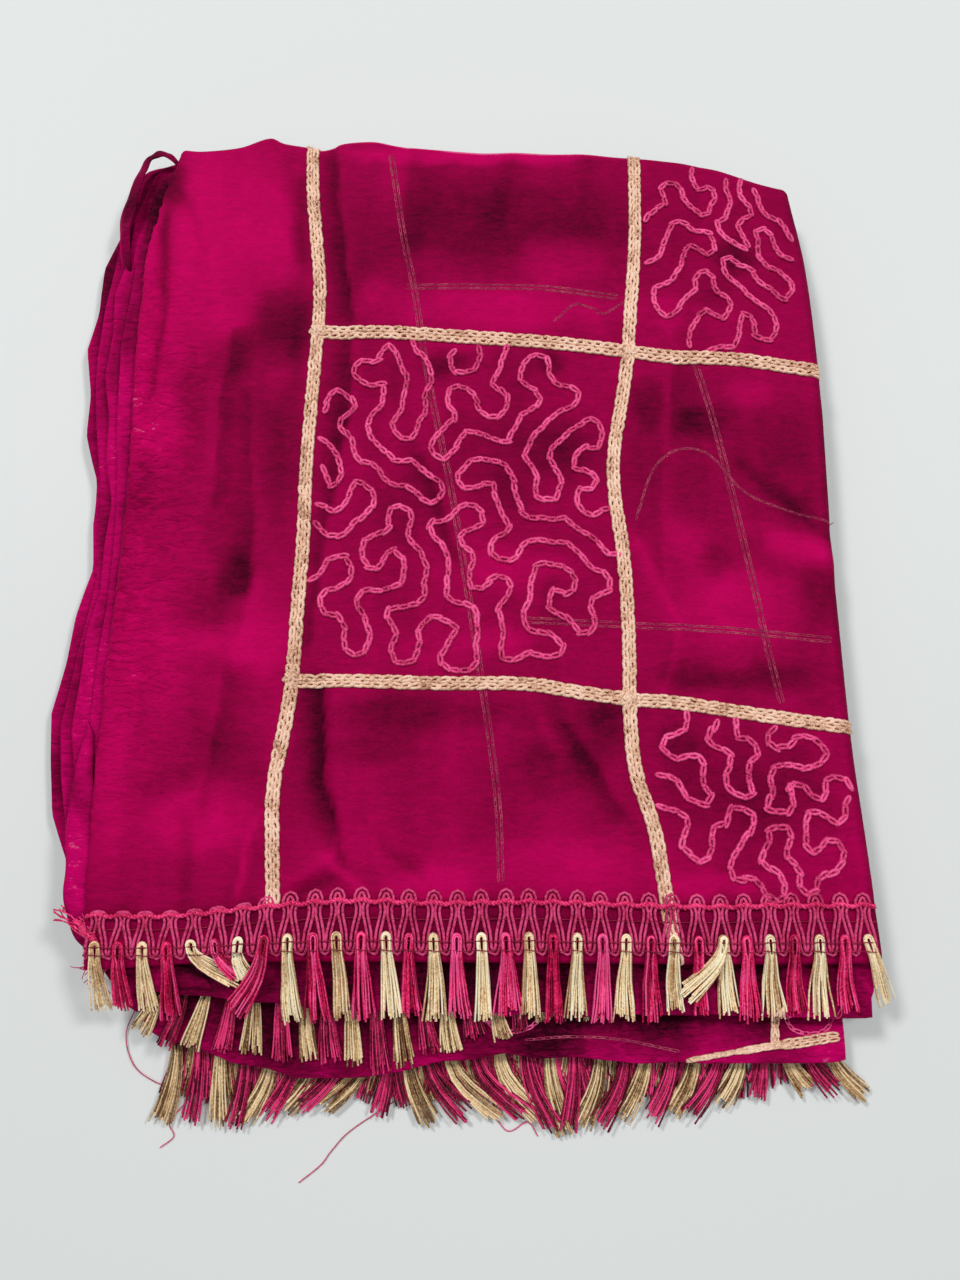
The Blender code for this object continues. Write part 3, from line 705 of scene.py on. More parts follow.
# Corner loop
# At the back left corner the fold stands up open: a band of the cloth runs up the left side, turns
# over in a small loop and goes back under the top cloth.
LOOP_PATH = (
    # x, y, height of the band's middle
    (-131.0, 150.0, 17.0),
    (-136.5, 157.0, 18.5),
    (-141.5, 163.0, 18.8),
    (-147.0, 164.5, 18.5),
    (-151.5, 162.0, 17.5),
    (-154.5, 155.5, 17.0),
    (-157.5, 145.0, 16.5),
    (-159.5, 134.0, 16.0),
    (-160.0, 122.0, 15.0),
    (-158.5, 106.0, 11.0),
    (-156.0, 90.0, 5.0),
)
LOOP_WIDTHS = (3.0, 4.5, 6.0, 7.0, 8.0, 9.0, 10.0, 10.5, 10.0, 8.0, 5.0)
loop_numbers = range(len(LOOP_PATH))
loop_band = bmesh.new()
bmesh.ops.create_grid(loop_band, x_segments=7, y_segments=59, size=1.0)
loop_depth = loop_band.verts.layers.float.new("depth")
loop_crinkle = loop_band.verts.layers.float.new("crinkle")
for index, vertex in enumerate(loop_band.verts):
    across, at = index % 8 / 7 - 0.5, (index // 8) / 59 * (len(LOOP_PATH) - 1)
    x, y, height = (smooth_through(loop_numbers, [place[k] for place in LOOP_PATH], at) for k in range(3))
    width = smooth_through(loop_numbers, LOOP_WIDTHS, at) * (1 + 0.12 * math.sin(at * 3))
    inwards = Vector((-138.0 - x, 138.0 - y)).normalized()
    bulge = 1.6 * math.cos(across * math.pi)
    x, y = x + inwards.x * (across * width * 0.75 - bulge), y + inwards.y * (across * width * 0.75 - bulge)
    vertex.co = (x, y, height + across * width * 0.55 + 0.4 * math.sin(at * 5 + across * 3))
    vertex[loop_depth] = 0.75 - 0.5 * math.exp(-(((across + 0.3) / 0.2) ** 2)) + 0.15 * math.sin(at * 2.2)
    vertex[loop_crinkle] = 0.4
corner_loop = finished("corner_loop", loop_band, crepe_folds, wall=CLOTH_WALL)
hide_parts("folded_layers")

# Corner fold
# At the front left corner a fold of the layer under the top one has slipped out, and turns in a
# soft round corner under the end of the lace.
CORNER_PATH = (
    # x, y of its nose, and how far it reaches in
    (-156.0, -96.0, 6.0),
    (-159.0, -112.0, 12.0),
    (-160.5, -130.0, 18.0),
    (-160.0, -148.0, 22.0),
    (-159.5, -162.0, 24.0),
    (-157.0, -172.5, 24.0),
    (-151.5, -180.5, 24.0),
    (-144.0, -187.0, 22.0),
    (-133.0, -192.5, 18.0),
    (-118.0, -197.0, 12.0),
    (-100.0, -197.5, 6.0),
)
CORNER_HEIGHT = 15.6
corner_numbers = range(len(CORNER_PATH))
corner = bmesh.new()
bmesh.ops.create_grid(corner, x_segments=12, y_segments=79, size=1.0)
corner_depth = corner.verts.layers.float.new("depth")
corner_crinkle = corner.verts.layers.float.new("crinkle")
for index, vertex in enumerate(corner.verts):
    step, at = index % 13, (index // 13) / 79 * (len(CORNER_PATH) - 1)
    x, y, reach = (smooth_through(corner_numbers, [row[k] for row in CORNER_PATH], at) for k in range(3))
    inwards = Vector((-128.0 - x, -150.0 - y)).normalized()
    angle = math.pi * (step / 6 - 0.5)
    inset = 1.7 * (1 - math.cos(angle)) if step < 6 else 1.7 + (reach - 1.7) * (step - 6) / 6
    rise = 1.7 * math.sin(min(angle, math.pi / 2))
    wave = 0.9 * noise.noise(Vector((x / 11, y / 11, 4.0))) + 0.5 * math.sin(at * 4.1)
    x, y = x + inwards.x * (inset + wave), y + inwards.y * (inset + wave)
    vertex.co = (x, y, CORNER_HEIGHT + rise + 0.4 * wave)
    # Painted shade and light: the corner is deeper on its underside and further in, lighter on its upper side, and
    # deeper in front under the end of the lace and the tassels.
    shade_in_front = 0.45 * min(1.0, max(0.0, (-176 - y) / 12))
    patch = 0.5 * noise.noise(Vector((x / 9, y / 14, 2.0)))
    vertex[corner_depth] = min(1.0, max(0.2, 0.5 - 0.22 * math.sin(angle * 0.8) + patch + shade_in_front))
    vertex[corner_crinkle] = 0.5
corner_fold = finished("corner_fold", corner, crepe_folds, wall=CLOTH_WALL)
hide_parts("folded_layers")

# Gold lines
# Couched gold thread in two rows of chain stitch side by side, worked by a hand-guided machine
# along and across the cloth in squares of six inches. Each loop comes up through the last.


def thread_piece(name, runs, radius, material, closed=False, resolution=0):
    """Threads laid along runs of places in millimetres, as one mesh. A place may end in a fourth
    number, its thickness as a share of the radius."""
    curve = bpy.data.curves.new(name, "CURVE")
    curve.dimensions = "3D"
    curve.bevel_depth = radius * MM
    curve.bevel_resolution = resolution
    curve.use_fill_caps = not closed
    for run in runs:
        spline = curve.splines.new("POLY")
        spline.points.add(len(run) - 1)
        spline.use_cyclic_u = closed
        for point, place in zip(spline.points, run):
            point.co = (place[0] * MM, place[1] * MM, place[2] * MM, 1.0)
            point.radius = place[3] if len(place) > 3 else 1.0
    drawn = bpy.data.objects.new(name + "_drawn", curve)
    bpy.context.scene.collection.objects.link(drawn)
    graph = bpy.context.evaluated_depsgraph_get()
    mesh = bpy.data.meshes.new_from_object(drawn.evaluated_get(graph))
    bpy.data.objects.remove(drawn)
    bpy.data.curves.remove(curve)
    # Each run has its own shade. Its mesh is a ring of corners for each place, and two end caps.
    chance = random.Random(name)
    ring = 4 + 2 * resolution
    shades = []
    for run in runs:
        shades += [chance.random()] * (ring * (len(run) + (0 if closed else 2)))
    mesh.attributes.new("strand", "FLOAT", "POINT").data.foreach_set("value", shades)
    mesh.materials.clear()
    mesh.materials.append(material)
    mesh.shade_smooth()
    piece = bpy.data.objects.new(name, mesh)
    bpy.context.scene.collection.objects.link(piece)
    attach(piece, "root")
    return piece


def along(path, step):
    """Places a step apart along a path, each with the direction there, as (x, y, dx, dy)."""
    places = []
    carried = 0.0
    for (x0, y0), (x1, y1) in zip(path, path[1:]):
        length = math.hypot(x1 - x0, y1 - y0)
        if length < 1e-9:
            continue
        dx, dy = (x1 - x0) / length, (y1 - y0) / length
        at = carried
        while at < length:
            places.append((x0 + dx * at, y0 + dy * at, dx, dy))
            at += step
        carried = at - length
    return places


def chain_stitch(path, pitch, width, rise, shift=0.0, uneven=0.1, surface=None):
    """The loops of a chain stitch on a surface along a path, each starting inside the last."""
    surface = surface or on_cloth
    loops = []
    for x, y, dx, dy in along(path, pitch):
        x, y = x - dy * shift, y + dx * shift
        turn = random.uniform(-uneven, uneven)
        dx, dy = dx * math.cos(turn) - dy * math.sin(turn), dx * math.sin(turn) + dy * math.cos(turn)
        half_length = pitch * random.uniform(0.66, 0.74)
        half_width = width / 2 * random.uniform(0.88, 1.08)
        loop = []
        for k in range(CHAIN_POINTS):
            angle = 2 * math.pi * k / CHAIN_POINTS
            forward = math.cos(angle) * half_length
            # A long drop, narrow where the loop starts and full where the next comes through.
            aside = math.sin(angle) * half_width * (0.86 + 0.22 * math.cos(angle))
            px, py = x + dx * forward - dy * aside, y + dy * forward + dx * aside
            lift = rise * (1.0 + 0.55 * math.cos(angle))
            loop.append((px, py, surface(px, py) + lift))
        loops.append(loop)
    return loops


def thread_material(name, bright, middle, dark, grain, metal, roughness, glitter, own_shade=0.14):
    """Yarn: twisted threads whose fibres catch the light in short flecks along the twist. The
    flecks bump the surface and are also painted into the colour, partly the yarn's own uneven
    tone and partly painted glints. Each thread is also a little lighter or darker than the
    next, by own_shade."""
    made, tree, shader = new_material(name)
    place = add_node(tree, "ShaderNodeTexCoord").outputs["Object"]
    fleck = add_node(tree, "ShaderNodeTexNoise", {"Vector": place}, Scale=1 / (grain * MM), Detail=2.0)
    patch = add_node(tree, "ShaderNodeTexNoise", {"Vector": place}, Scale=1 / (7 * MM), Detail=1.0)
    blended = add_node(
        tree, "ShaderNodeMix", {2: fleck.outputs["Fac"], 3: patch.outputs["Fac"]}, Factor=0.35
    )
    strand = add_node(tree, "ShaderNodeAttribute", attribute_name="strand").outputs["Fac"]
    shaded = add_node(tree, "ShaderNodeMix", {2: blended.outputs[0], 3: strand}, Factor=own_shade)
    ramp = add_node(tree, "ShaderNodeValToRGB", {"Fac": shaded.outputs[0]})
    ramp.color_ramp.elements[0].position = 0.34
    ramp.color_ramp.elements[0].color = (*linear(dark), 1.0)
    ramp.color_ramp.elements[1].position = 0.64
    ramp.color_ramp.elements[1].color = (*linear(bright), 1.0)
    ramp.color_ramp.elements.new(0.48).color = (*linear(middle), 1.0)
    tree.links.new(ramp.outputs["Color"], shader.inputs["Base Color"])
    bump = add_node(
        tree, "ShaderNodeBump", {"Height": fleck.outputs["Fac"]}, Strength=glitter, Distance=0.2 * MM
    )
    tree.links.new(bump.outputs["Normal"], shader.inputs["Normal"])
    shader.inputs["Metallic"].default_value = metal
    shader.inputs["Specular IOR Level"].default_value = 0.3
    shader.inputs["Roughness"].default_value = roughness
    return made


random.seed(61)
CHAIN_POINTS = 10
GOLD_PITCH, GOLD_THREAD = 3.8, 0.68
GOLD_WIDTH, UPPER_GOLD_WIDTH = 2.0, 2.35
# The gold thread's colours are tinted rose: partly the zari's own warm colour and partly a painted reflection of
# the magenta cloth round it.
gold_thread = thread_material("gold zari thread", "#fad8c2", "#e8bc9e", "#ac785e", 0.9, 0.0, 0.4, 0.6)

# The lines run on over the rolled edges.
OVER_EDGE = 4.2
gold_lines = []
for s, start in ((1.0, 0.42), (2.0, 0.02)):
    path = [cloth_place(s, t) for t in evenly(start, BACK_LINE, 60)]
    gold_lines.append((GOLD_WIDTH, path + [(path[-1][0], path[-1][1] + OVER_EDGE)]))
for width, t in ((GOLD_WIDTH, LOWER_CROSS), (UPPER_GOLD_WIDTH, UPPER_CROSS)):
    path = [cloth_place(s, t) for s in evenly(1.03, 3.0, 60)]
    gold_lines.append((width, path + [(path[-1][0] + OVER_EDGE, path[-1][1] - 0.3)]))


def over_edge(x, y):
    """The top cloth, and past its rolled edge a place down its side."""
    return on_cloth(x, y, CLOTH_TOP - 7.0)


gold_loops = []
for width, path in gold_lines:
    for shift in (-0.68 * width, 0.68 * width):
        gold_loops += chain_stitch(path, GOLD_PITCH, width, 0.42, shift, 0.24, over_edge)
# The thread is made fast with a few stitches over each other where two lines meet.
for s, t in ((1.0, LOWER_CROSS), (1.0, UPPER_CROSS), (2.0, LOWER_CROSS), (2.0, UPPER_CROSS)):
    x, y = cloth_place(s, t)
    for angle in (0.4, 1.3, 2.2, 2.9):
        reach = (2.0 * math.cos(angle), 2.0 * math.sin(angle))
        knot = [(x - reach[0], y - reach[1]), (x + reach[0], y + reach[1])]
        gold_loops += chain_stitch(knot, 2.6, GOLD_WIDTH, 1.0)
gold_chain = thread_piece("gold_chain_lines", gold_loops, GOLD_THREAD, gold_thread, True, 1)
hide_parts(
    "gold_braid_left",
    "gold_braid_middle",
    "gold_braid_lower_left",
    "gold_braid_lower_right",
    "gold_braid_upper_left",
    "gold_braid_upper_right",
)

# Pink meander
# A single row of pink chain stitch wanders through every other square, as vermicelli work does.
# Its way is grown here afresh: a small ring buds and pushes itself apart until the square is full.


EDGE_LAP = 3.0


def grown_line(wide, high, spacing, fullness, seed):
    """A closed line that has spread by itself through a rectangle, in millimetres."""
    chance = random.Random(seed)
    line = []
    for k in range(20):
        angle = 2 * math.pi * k / 20
        x = 0.47 * wide + 7 * math.cos(angle)
        line.append(Vector((x, 0.53 * high + 7 * math.sin(angle), 0.0)))
    length, steps = 0.0, 0
    while length < fullness * wide * high / spacing and steps < 800:
        steps += 1
        tree = KDTree(len(line))
        for k, place in enumerate(line):
            tree.insert(place, k)
        tree.balance()
        count = len(line)
        moved = []
        for k, place in enumerate(line):
            push = 0.35 * ((line[k - 1] + line[(k + 1) % count]) / 2 - place)
            for other, index, gap in tree.find_range(place, spacing):
                if min((index - k) % count, (k - index) % count) > 2:
                    push += (place - other) / max(gap, 0.2) * (1 - gap / spacing) * 0.55
            if push.length > 0.7:
                push = push.normalized() * 0.7
            spot = place + push
            x, y = min(max(spot.x, -EDGE_LAP), wide + EDGE_LAP), min(max(spot.y, -EDGE_LAP), high + EDGE_LAP)
            moved.append(Vector((x, y, 0.0)))
        line, length = [], 0.0
        for k, place in enumerate(moved):
            after = moved[(k + 1) % count]
            gap = (after - place).length
            length += gap
            line.append(place)
            if gap > 3.2 or (gap > 1.8 and chance.random() < 0.02):
                line.append((place + after) / 2)
    for _ in range(2):
        count = len(line)
        line = [(line[k - 1] + 2 * line[k] + line[(k + 1) % count]) / 4 for k in range(count)]
    return line


MEANDER_PITCH, MEANDER_WIDTH, MEANDER_THREAD = 3.9, 1.85, 0.66
STRAND_SPACING = 11.4
pink_chain = thread_material("pink rayon thread", "#fa60a0", "#de3c7c", "#a8144e", 1.0, 0.0, 0.5, 0.4)
meander_loops = []
for s0, s1, t0, t1, wide, high, fullness, seed in (
    (1.05, 1.97, 2.05, 3.94, 132, 138, 1.2, 11),
    (2.05, 3.00, 4.06, 5.98, 84, 82, 1.2, 3),
    (2.05, 3.00, 0.44, 1.94, 88, 80, 1.2, 8),
):
    grown = grown_line(wide, high, STRAND_SPACING, fullness, seed)
    runs = [[]]
    for place in grown + grown[:1]:
        # The line goes on under the gold one, and comes out again further on.
        if not (0 < place.x < wide and 0 < place.y < high):
            runs.append([])
            continue
        place = place + 1.1 * noise.noise_vector(place / 6)
        s = s0 + (s1 - s0) * place.x / wide
        runs[-1].append(cloth_place(s, t0 + (t1 - t0) * place.y / high))
    for path in runs:
        meander_loops += chain_stitch(path, MEANDER_PITCH, MEANDER_WIDTH, 0.36)
meander = thread_piece("pink_meander", meander_loops, MEANDER_THREAD, pink_chain, True)

# Stitches under the sheer cloth
# The squares of the next layer show faintly through the top one. They are thin low rows of chain
# in a colour between the gold and the cloth.
SHOWN_THROUGH = (
    # rows of chain, and the places that the row runs through
    (2, ((-40, 160), (-34, 120), (-29, 95), (-22, 50), (-12, 0), (-4, -50), (6, -120), (8, -158))),
    (2, ((-30, 95), (0, 95), (30, 94), (60, 90))),
    (2, ((92, 60), (99, 30), (106, -10), (114, -60), (119, -88))),
    (2, ((20, -56), (60, -58), (100, -60), (142, -64))),
    (1, ((33, 80), (41, 87), (50, 85), (54, 83), (62, 88))),
    (1, ((64, -11), (72, 10), (84, 19), (97, 16), (110, 0), (124, -7), (146, -13))),
)
faint_thread = thread_material(
    "gold thread under crepe", "#c05a70", "#a02c54", "#820a40", 0.8, 0.0, 0.7, 0.2
)


def smooth_path(corners, count=12):
    """A smooth curve through places, as a path of many short runs."""
    numbers = range(len(corners))
    path = []
    for at in evenly(0, len(corners) - 1, count * len(corners)):
        x = smooth_through(numbers, [corner[0] for corner in corners], at)
        path.append((x, smooth_through(numbers, [corner[1] for corner in corners], at)))
    return path


faint_loops = []
for row_count, corners in SHOWN_THROUGH:
    for shift in (-0.9, 0.9)[:row_count]:
        faint_loops += chain_stitch(smooth_path(corners), 3.4, 0.9, 0.04, shift)
faint = thread_piece("stitches_under_crepe", faint_loops, 0.15, faint_thread, True)

# Stitches on the lower fold
# The fold that stands out in front has its own gold line near its edge, a crossing one, and a bit
# of the pink meander.
fold_loops = []
for width, corners in (
    (0.55, ((80, -223), (90, -221.3), (101, -219.6))),
    (0.95, ((101, -219.6), (111, -218), (116, -217.5))),
    (1.5, ((116, -217.5), (122, -216.7), (133, -215))),
    (1.2, ((112, -206), (111, -217))),
):
    for shift in (-0.62 * width, 0.62 * width):
        path = smooth_path(corners)
        fold_loops += chain_stitch(path, 3.4, width, 0.4, shift, 0.2, on_folds)
fold_gold = thread_piece("gold_chain_lower_fold", fold_loops, 0.44, gold_thread, True, 1)
fold_loops = []
for corners in (
    ((115, -206), (118, -212), (125, -214), (131, -212), (134, -206)),
    ((2, -209), (8, -213), (18, -212), (24, -207)),
):
    fold_loops += chain_stitch(smooth_path(corners), 3.0, 1.4, 0.3, 0.0, 0.1, on_folds)
fold_pink = thread_piece("pink_chain_lower_fold", fold_loops, 0.32, pink_chain, True)
fold_loops = chain_stitch(
    smooth_path(((19, -216), (34, -215), (53, -216), (74, -220))), 3.2, 0.9, 0.04, 0.0, 0.1, on_folds
)
fold_faint = thread_piece("stitches_under_lower_fold", fold_loops, 0.16, faint_thread, True)

# Lace heading
# A crocheted braid sewn on the hem: a pair of viscose cords zigzags between a scalloped edge and a
# row of loops, with one repeat for each tassel. A bright thread runs along its upper edge, and two
# thin dark ones hold the tassels' necks.
LACE_PITCH = 9.0
LACE_LEFT, LACE_REPEATS = -148.0, 33
LACE_TOP_Y, LACE_FOOT_Y = -163.0, -182.5
LACE_RIPPLE = (-5.0, -5.0, -1.5, 1.0, 0.0, 0.5, -0.5, -1.5, -1.0, -1.0)
CORD_THREAD, CORD_APART = 0.6, 1.62
lace_cord = thread_material("crimson viscose cord", "#de4a82", "#b42056", "#74062c", 1.0, 0.1, 0.5, 0.5)
bright_cord = thread_material("bright pink cord", "#ff4f90", "#dc2264", "#98083c", 0.9, 0.2, 0.4, 0.6)
dark_thread = thread_material("dark red thread", "#b01444", "#8c0c34", "#600020", 0.5, 0.0, 0.6, 0.2)


def lace_ripple(x):
    """How far the lace strays from its straight line."""
    stations = evenly(LACE_LEFT, LACE_LEFT + LACE_REPEATS * LACE_PITCH, len(LACE_RIPPLE))
    return smooth_through(stations, LACE_RIPPLE, x)


def lace_place(x, down, rise):
    """A place of the lace: down is how far below its upper edge it lies, from 0 to 1. It passes
    over the middle gold line."""
    top = LACE_TOP_Y + lace_ripple(x)
    foot = LACE_FOOT_Y + 0.35 * lace_ripple(x)
    y = top + (foot - top) * down
    over_gold = 0.8 * math.exp(-(((x - 69) / 4) ** 2))
    return (x, y, on_cloth(x, y) + rise + over_gold)


# Half of one repeat of the zigzag, from a scallop's crown to the loop between two tassels: how
# far across in pitches, and how far down.
ZIGZAG = (
    (0.0, -0.05),
    (0.13, -0.02),
    (0.21, 0.06),
    (0.21, 0.16),
    (0.14, 0.26),
    (0.15, 0.38),
    (0.23, 0.54),
    (0.31, 0.70),
    (0.34, 0.84),
    (0.35, 0.95),
    (0.41, 1.04),
    (0.5, 1.07),
)
LACE_DEPTH = 19.5
RUNNING_DOWN = 0.14
zigzag = [(-across, down) for across, down in reversed(ZIGZAG[1:])] + list(ZIGZAG[:-1])
lace_runs = []
for offset in (-CORD_APART / 2, CORD_APART / 2):
    run = []
    for k in range(LACE_REPEATS):
        middle = LACE_LEFT + (k + 0.5) * LACE_PITCH + 0.3 * math.sin(k * 2.3)
        for index, (across, down) in enumerate(zigzag):
            before, after = zigzag[max(index - 1, 0)], zigzag[min(index + 1, len(zigzag) - 1)]
            run_x = (after[0] - before[0]) * LACE_PITCH
            run_y = (before[1] - after[1]) * LACE_DEPTH
            length = math.hypot(run_x, run_y)
            x = middle + across * LACE_PITCH - offset * run_y / length
            down -= offset * run_x / length / LACE_DEPTH
            if down < RUNNING_DOWN:
                # At the left the crowns are pulled down to the running thread.
                down = RUNNING_DOWN - (RUNNING_DOWN - down) * min(1.0, max(0.4, (x + 98) / 22))
            run.append(lace_place(x, down, 0.55))
    lace_runs.append(run)
lace = thread_piece("hem_lace_cords", lace_runs, CORD_THREAD, lace_cord, resolution=1)
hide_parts("hem_lace")

# The running thread passes over between two scallops and under each one's crown.
ends = (LACE_LEFT, LACE_LEFT + LACE_REPEATS * LACE_PITCH)
running_runs = []
for start in (0.0, math.pi):
    run = []
    for x in evenly(*ends, 560):
        turn = 2 * math.pi * (x - LACE_LEFT) / LACE_PITCH
        twist = x * 2.1 + start
        wave = RUNNING_DOWN + 0.022 * math.cos(turn) + 0.028 * math.sin(twist)
        run.append(lace_place(x, wave, 1.0 + 0.55 * math.cos(turn) + 0.35 * math.cos(twist)))
    running_runs.append(run)
running = thread_piece("hem_lace_running_thread", running_runs, 0.64, bright_cord)
holding = []
for down, rise in ((0.46, 0.9), (0.85, 2.3), (1.02, 2.5)):
    line = []
    for x in evenly(*ends, 330):
        turn = 2 * math.pi * (x - LACE_LEFT) / LACE_PITCH
        sway = 0.01 * math.sin(turn + down * 9)
        line.append(lace_place(x, down + sway, rise - 0.5 * math.cos(turn) * (down > 0.6)))
    holding.append(line)
holders = thread_piece("hem_lace_holding_threads", holding, 0.2, dark_thread)

# The lace's cut end stands out at the left, frayed to bright threads.
random.seed(17)
frayed = []
for k in range(26):
    end_x, end_y = -160 + random.uniform(-3, 7), -170 + random.uniform(-4, 2.5)
    run = []
    for share in evenly(0, 1, 7):
        x = -143 + (end_x + 143) * share + 0.9 * math.sin(share * 9 + k)
        y = -181 + (end_y + 181) * share**0.8 + 0.9 * math.cos(share * 8 + k * 1.7)
        height = max(20.2 - 4.5 * share, on_cloth(x, y, 0.0) + 0.4)
        run.append((x, y, height + 0.3 * (k % 4)))
    frayed.append(run)
lace_end = thread_piece("hem_lace_frayed_end", frayed, 0.27, bright_cord)

# Tassels
# Bunches of thread doubled through the lace and tied at the neck, gold zari and magenta rayon in
# turn. They fan out to cut ends. The top hem's hang over the folds, the second's lie on the
# lowest fold, and the lowest's lie bent on the table.
tassel_gold = thread_material("gold zari tassel", "#fff6d6", "#ffe2b4", "#be9468", 0.9, 0.0, 0.36, 0.9, 0.34)
tassel_pink = thread_material("magenta rayon tassel", "#ff60a2", "#ea1662", "#8a0030", 0.9, 0.15, 0.36, 0.8, 0.34)
# The lower rows' yarns are copies of the same yarns in darker colours: painted shade, for the rows that lie in the
# shade of the bundle.
gold_tassel_in_painted_shade = thread_material("rubbed gold zari tassel", "#f4dcb0", "#c6a072", "#6a482a", 0.9, 0.0, 0.42, 1.0, 0.36)
pink_tassel_in_painted_shade = thread_material("rubbed magenta rayon tassel", "#ea3c80", "#a40a44", "#4c0018", 0.9, 0.15, 0.45, 0.9, 0.36)
NECK_DOWN = 6.0
HEAD_HALF, HOLE_HALF = 1.75, 0.75
THREAD_PAIRS = 9
TASSEL_THREAD = 0.37
STIFF_FALL = 0.45


def tassel_line(head, tip, bend, surface, lift, count=12):
    """The middle line of a tassel from its head to its tip, lying a lift above a surface."""
    reach = math.hypot(tip[0] - head[0], tip[1] - head[1])
    height = None
    line = []
    for share in evenly(0, 1, count):
        x = head[0] + (tip[0] - head[0]) * share**1.7 + bend * math.sin(math.pi * share)
        y = head[1] + (tip[1] - head[1]) * share
        under = surface(x, y) + lift
        height = under if height is None else max(under, height - STIFF_FALL * reach / (count - 1))
        line.append(Vector((x, y, height)))
    return line


def at_share(line, share):
    """A place on a line at a share of its length, and the direction there."""
    at = min(max(share, 0.0), 1.0) * (len(line) - 1)
    k = min(int(at), len(line) - 2)
    run = line[k + 1] - line[k]
    past = min(share, 0.0) + max(share - 1.0, 0.0)
    return line[k] + run * (at - k) + run * past * (len(line) - 1), run


def tassel_threads(line, across_tip, thickness, looped):
    """The threads of one tassel. Each goes up one side, over the loop at the head and down the
    other side, or just lies along the line where the head is hidden."""
    length = sum((b - a).length for a, b in zip(line, line[1:]))
    neck = NECK_DOWN / length
    runs = []
    for pair in range(THREAD_PAIRS):
        order = (pair + 0.5) / THREAD_PAIRS
        reach = HOLE_HALF + (HEAD_HALF - HOLE_HALF) * order
        layer = random.random()
        sides = []
        for side in (-1, 1):
            end = 1.0 + random.uniform(-0.09, 0.04)
            loose = random.gauss(0, 0.13) + (random.uniform(-0.5, 0.5) if random.random() < 0.12 else 0)
            wave, turn = random.uniform(-0.3, 0.3), random.uniform(0, 6)
            strand = []
            for share in (neck, neck + 0.1, 0.4, 0.55, 0.7, 0.85, end):
                fan = max(0.0, (share - neck) / (1 - neck)) ** 0.85
                if share > neck:
                    spread = 1.8 * HEAD_HALF + (across_tip - 1.8 * HEAD_HALF) * fan
                    across = (side * order + loose * fan) * spread / 2
                else:
                    across = side * reach * 0.95
                across += wave * math.sin(7 * share + turn) * fan
                place, run = at_share(line, share)
                aside = Vector((-run.y, run.x, 0.0)).normalized()
                level = 0.4 + thickness * layer * (1 - 0.5 * fan)
                strand.append(place + aside * across + Vector((0, 0, level)))
            sides.append(strand)
        if not looped:
            runs += [[tuple(place) for place in strand] for strand in sides]
            continue
        crown = []
        for angle in evenly(0.0, math.pi, 7):
            share = (2.4 - math.sin(angle) * reach * 1.25) / length
            place, run = at_share(line, share)
            aside = Vector((-run.y, run.x, 0.0)).normalized()
            level = 1.5 + 0.8 * layer
            crown.append(place - aside * (math.cos(angle) * reach) + Vector((0, 0, level)))
        whole = list(reversed(sides[0])) + crown + sides[1]
        runs.append([tuple(place) for place in whole])
    return runs


def high_surface(x, y):
    """What the top tassels lie on: the top cloth, and past its hem the folds under it."""
    return max(on_cloth(x, y, 0.0), on_folds(x, y))


def middle_surface(x, y):
    """What the middle tassels lie on: the lowest fold's upper side, inside the folds above."""
    return min(on_folds(x, y), 10.6) if y < -200 else 10.6


def low_surface(x, y):
    return 0.1


# Tips and leans are given at even steps along each fringe, in millimetres. A stray tassel has
# its own lean, tip, bend and rise.
FRINGES = (
    dict(
        name="top",
        first=LACE_LEFT + LACE_PITCH / 2,
        count=33,
        head=-176.4,
        tips=(-204, -207, -209, -206, -208, -207, -209, -206, -207, -204),
        leans=(1.0, 1.5, 2.0, 1.5, 1.0, 0.5, 0.0, 1.5, 1.0, 2.0),
        strays={
            4: (17.0, -194, -2.0, 0.5),
            5: (8.0, -192, -1.5, 0.2),
            6: (3.0, -193, -1.5, 0.2),
            7: (-11.0, -205, 1.0, 2.6),
            26: (-15.0, -199, 1.0, 2.8),
            32: (9.0, -202, 1.5, 0.0),
        },
        surface=high_surface,
        lift=0.0,
        widths=(6.5, 9.5),
        split=26,
    ),
    dict(
        name="middle",
        first=-121.0,
        count=19,
        head=-194.0,
        tips=(-215, -219, -221, -223, -226, -220, -215, -211, -209),
        leans=(-8.0, -5.0, 1.0, 2.0, 3.0, 3.0, 3.0, 2.0, 2.0),
        strays={},
        surface=middle_surface,
        lift=0.0,
        widths=(6.0, 8.8),
    ),
    dict(
        name="low",
        first=-117.0,
        count=29,
        head=-213.0,
        tips=(-247, -247, -246, -242, -241, -248, -243, -246, -249, -247, -245, -243, -240, -235, -237),
        leans=(-3, 0, -8, -10, -14, 8, 16, 13, 5, -8, -8, -9, -9, 7, 11),
        strays={},
        surface=low_surface,
        lift=1.8,
        widths=(6.5, 9.0),
    ),
    dict(
        name="low",
        first=-112.0,
        count=24,
        head=-213.0,
        tips=(-240, -241, -238, -236, -236, -240, -238, -240, -241, -239, -237, -235, -233),
        leans=(-4, 3, -4, -6, -3, 5, 6, 3, -5, -4, 3, -6, 4),
        strays={},
        surface=low_surface,
        lift=0.0,
        widths=(6.0, 9.0),
    ),
    # A third low pass in the darker pink yarn fills the gaps between the others: more tassels, and painted shade
    # where the table would show between them.
    dict(
        name="low",
        first=-116.0,
        count=28,
        head=-211.0,
        tips=(-236, -238, -237, -239, -237, -238, -240, -238, -236, -232),
        leans=(-2, 1, -3, -4, 2, 4, 2, -3, -4, 3),
        strays={},
        surface=low_surface,
        lift=0.3,
        widths=(8.0, 11.0),
        colours=("pink", "pink"),
    ),
)
random.seed(29)
bundles = {}
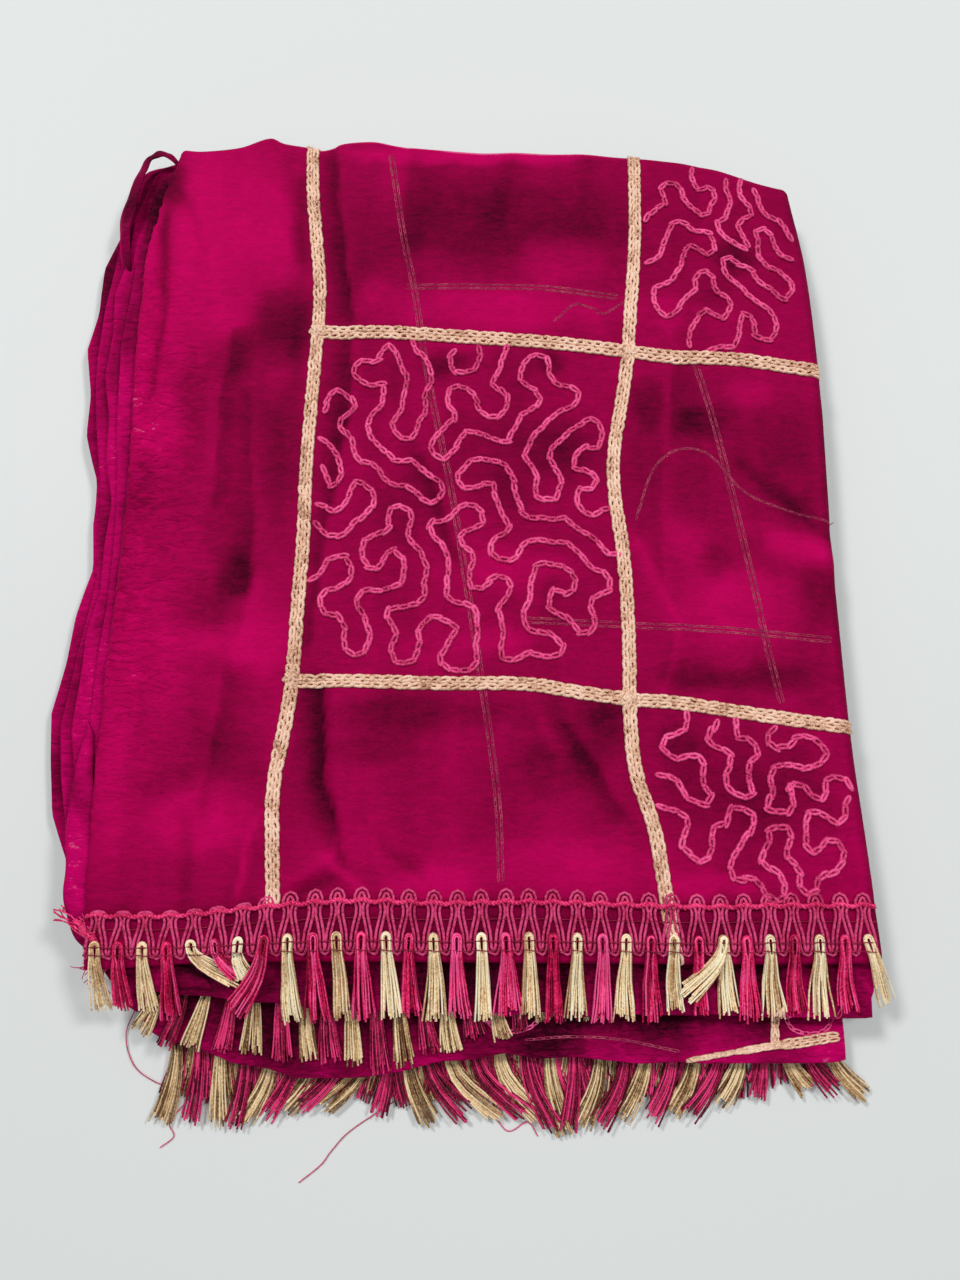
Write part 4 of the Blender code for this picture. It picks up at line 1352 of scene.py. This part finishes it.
for fringe in FRINGES:
    places = evenly(0, fringe["count"] - 1, len(fringe["tips"]))
    looped = fringe["name"] == "top"
    for k in range(fringe["count"]):
        colour = fringe.get("colours", ("gold", "pink"))[k % 2]
        x = fringe["first"] + k * LACE_PITCH + random.uniform(-0.4, 0.4)
        head_y = fringe["head"] + (0.6 * lace_ripple(x) if looped else 0.0)
        tip_y = smooth_through(places, fringe["tips"], k) + random.uniform(-1.6, 1.6)
        lean = smooth_through(places, fringe["leans"], k) + random.uniform(-1.2, 1.2)
        bend, rise = random.uniform(-0.6, 0.6), 0.0
        if fringe["name"] == "low":
            bend -= 0.3 * lean
        hangs = [fringe["strays"].get(k, (lean, tip_y, bend, rise))]
        if k == fringe.get("split"):
            # Part of this one hangs straight while the rest lies across its neighbours.
            hangs.append((2.5, -206.0, 0.5, 0.0))
        for lean, tip_y, bend, rise in hangs:
            line = tassel_line(
                (x, head_y), (x + lean, tip_y), bend, fringe["surface"], fringe["lift"] + 0.5 * (k % 2)
            )
            for place, share in zip(line, evenly(0, 1, len(line))):
                place.z += rise * math.sin(math.pi * min(1.0, share * 1.4) / 2)
            across_tip = random.uniform(*fringe["widths"])
            threads = tassel_threads(line, across_tip, 2.0 if looped else 1.7, looped)
            bundles.setdefault((fringe["name"], colour), []).extend(threads)
for (fringe_name, colour), threads in bundles.items():
    lit_and_shaded_yarns = {"gold": (tassel_gold, gold_tassel_in_painted_shade), "pink": (tassel_pink, pink_tassel_in_painted_shade)}
    # The top row takes the lit yarn, and the lower rows take the copy in painted shade.
    material = lit_and_shaded_yarns[colour][fringe_name != "top"]
    piece_name = f"tassel_threads_{fringe_name}_{colour}"
    piece = thread_piece(piece_name, threads, TASSEL_THREAD, material)
    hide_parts(f"tassels_{fringe_name}_{colour}")

# Loose threads
# Ends of the cloth's own yarn have frayed out at the front left corner, and a few longer ones lie
# about on the table.
random.seed(41)
loose = []
for k in range(26):
    x0, y0 = -146 + random.uniform(-2, 5), -188 + random.uniform(-2, 3)
    reach, angle = random.uniform(6, 12), math.radians(random.uniform(205, 262))
    curl = random.uniform(-0.5, 0.5)
    run = []
    for share in evenly(0, 1, 7):
        heading = angle + curl * share * 2
        x, y = x0 + reach * share * math.cos(heading), y0 + reach * share * math.sin(heading)
        run.append((x, y, 12.5 - 5 * share + 0.4 * (k % 3)))
    loose.append(run)
for height, corners in (
    (0.3, ((-33, -240), (-49, -250), (-56, -257), (-60, -262), (-68, -268))),
    (0.6, ((-134, -206), (-137, -216), (-133, -227), (-124, -233), (-118, -234))),
    (0.3, ((-112, -240), (-118, -247), (-116, -252), (-121, -256))),
    (0.3, ((2, -238), (10, -250), (18, -247), (22, -252))),
):
    loose.append([(x, y, height) for x, y in smooth_path(corners, 5)])
loose_threads = thread_piece("loose_threads", loose, 0.2, bright_cord)
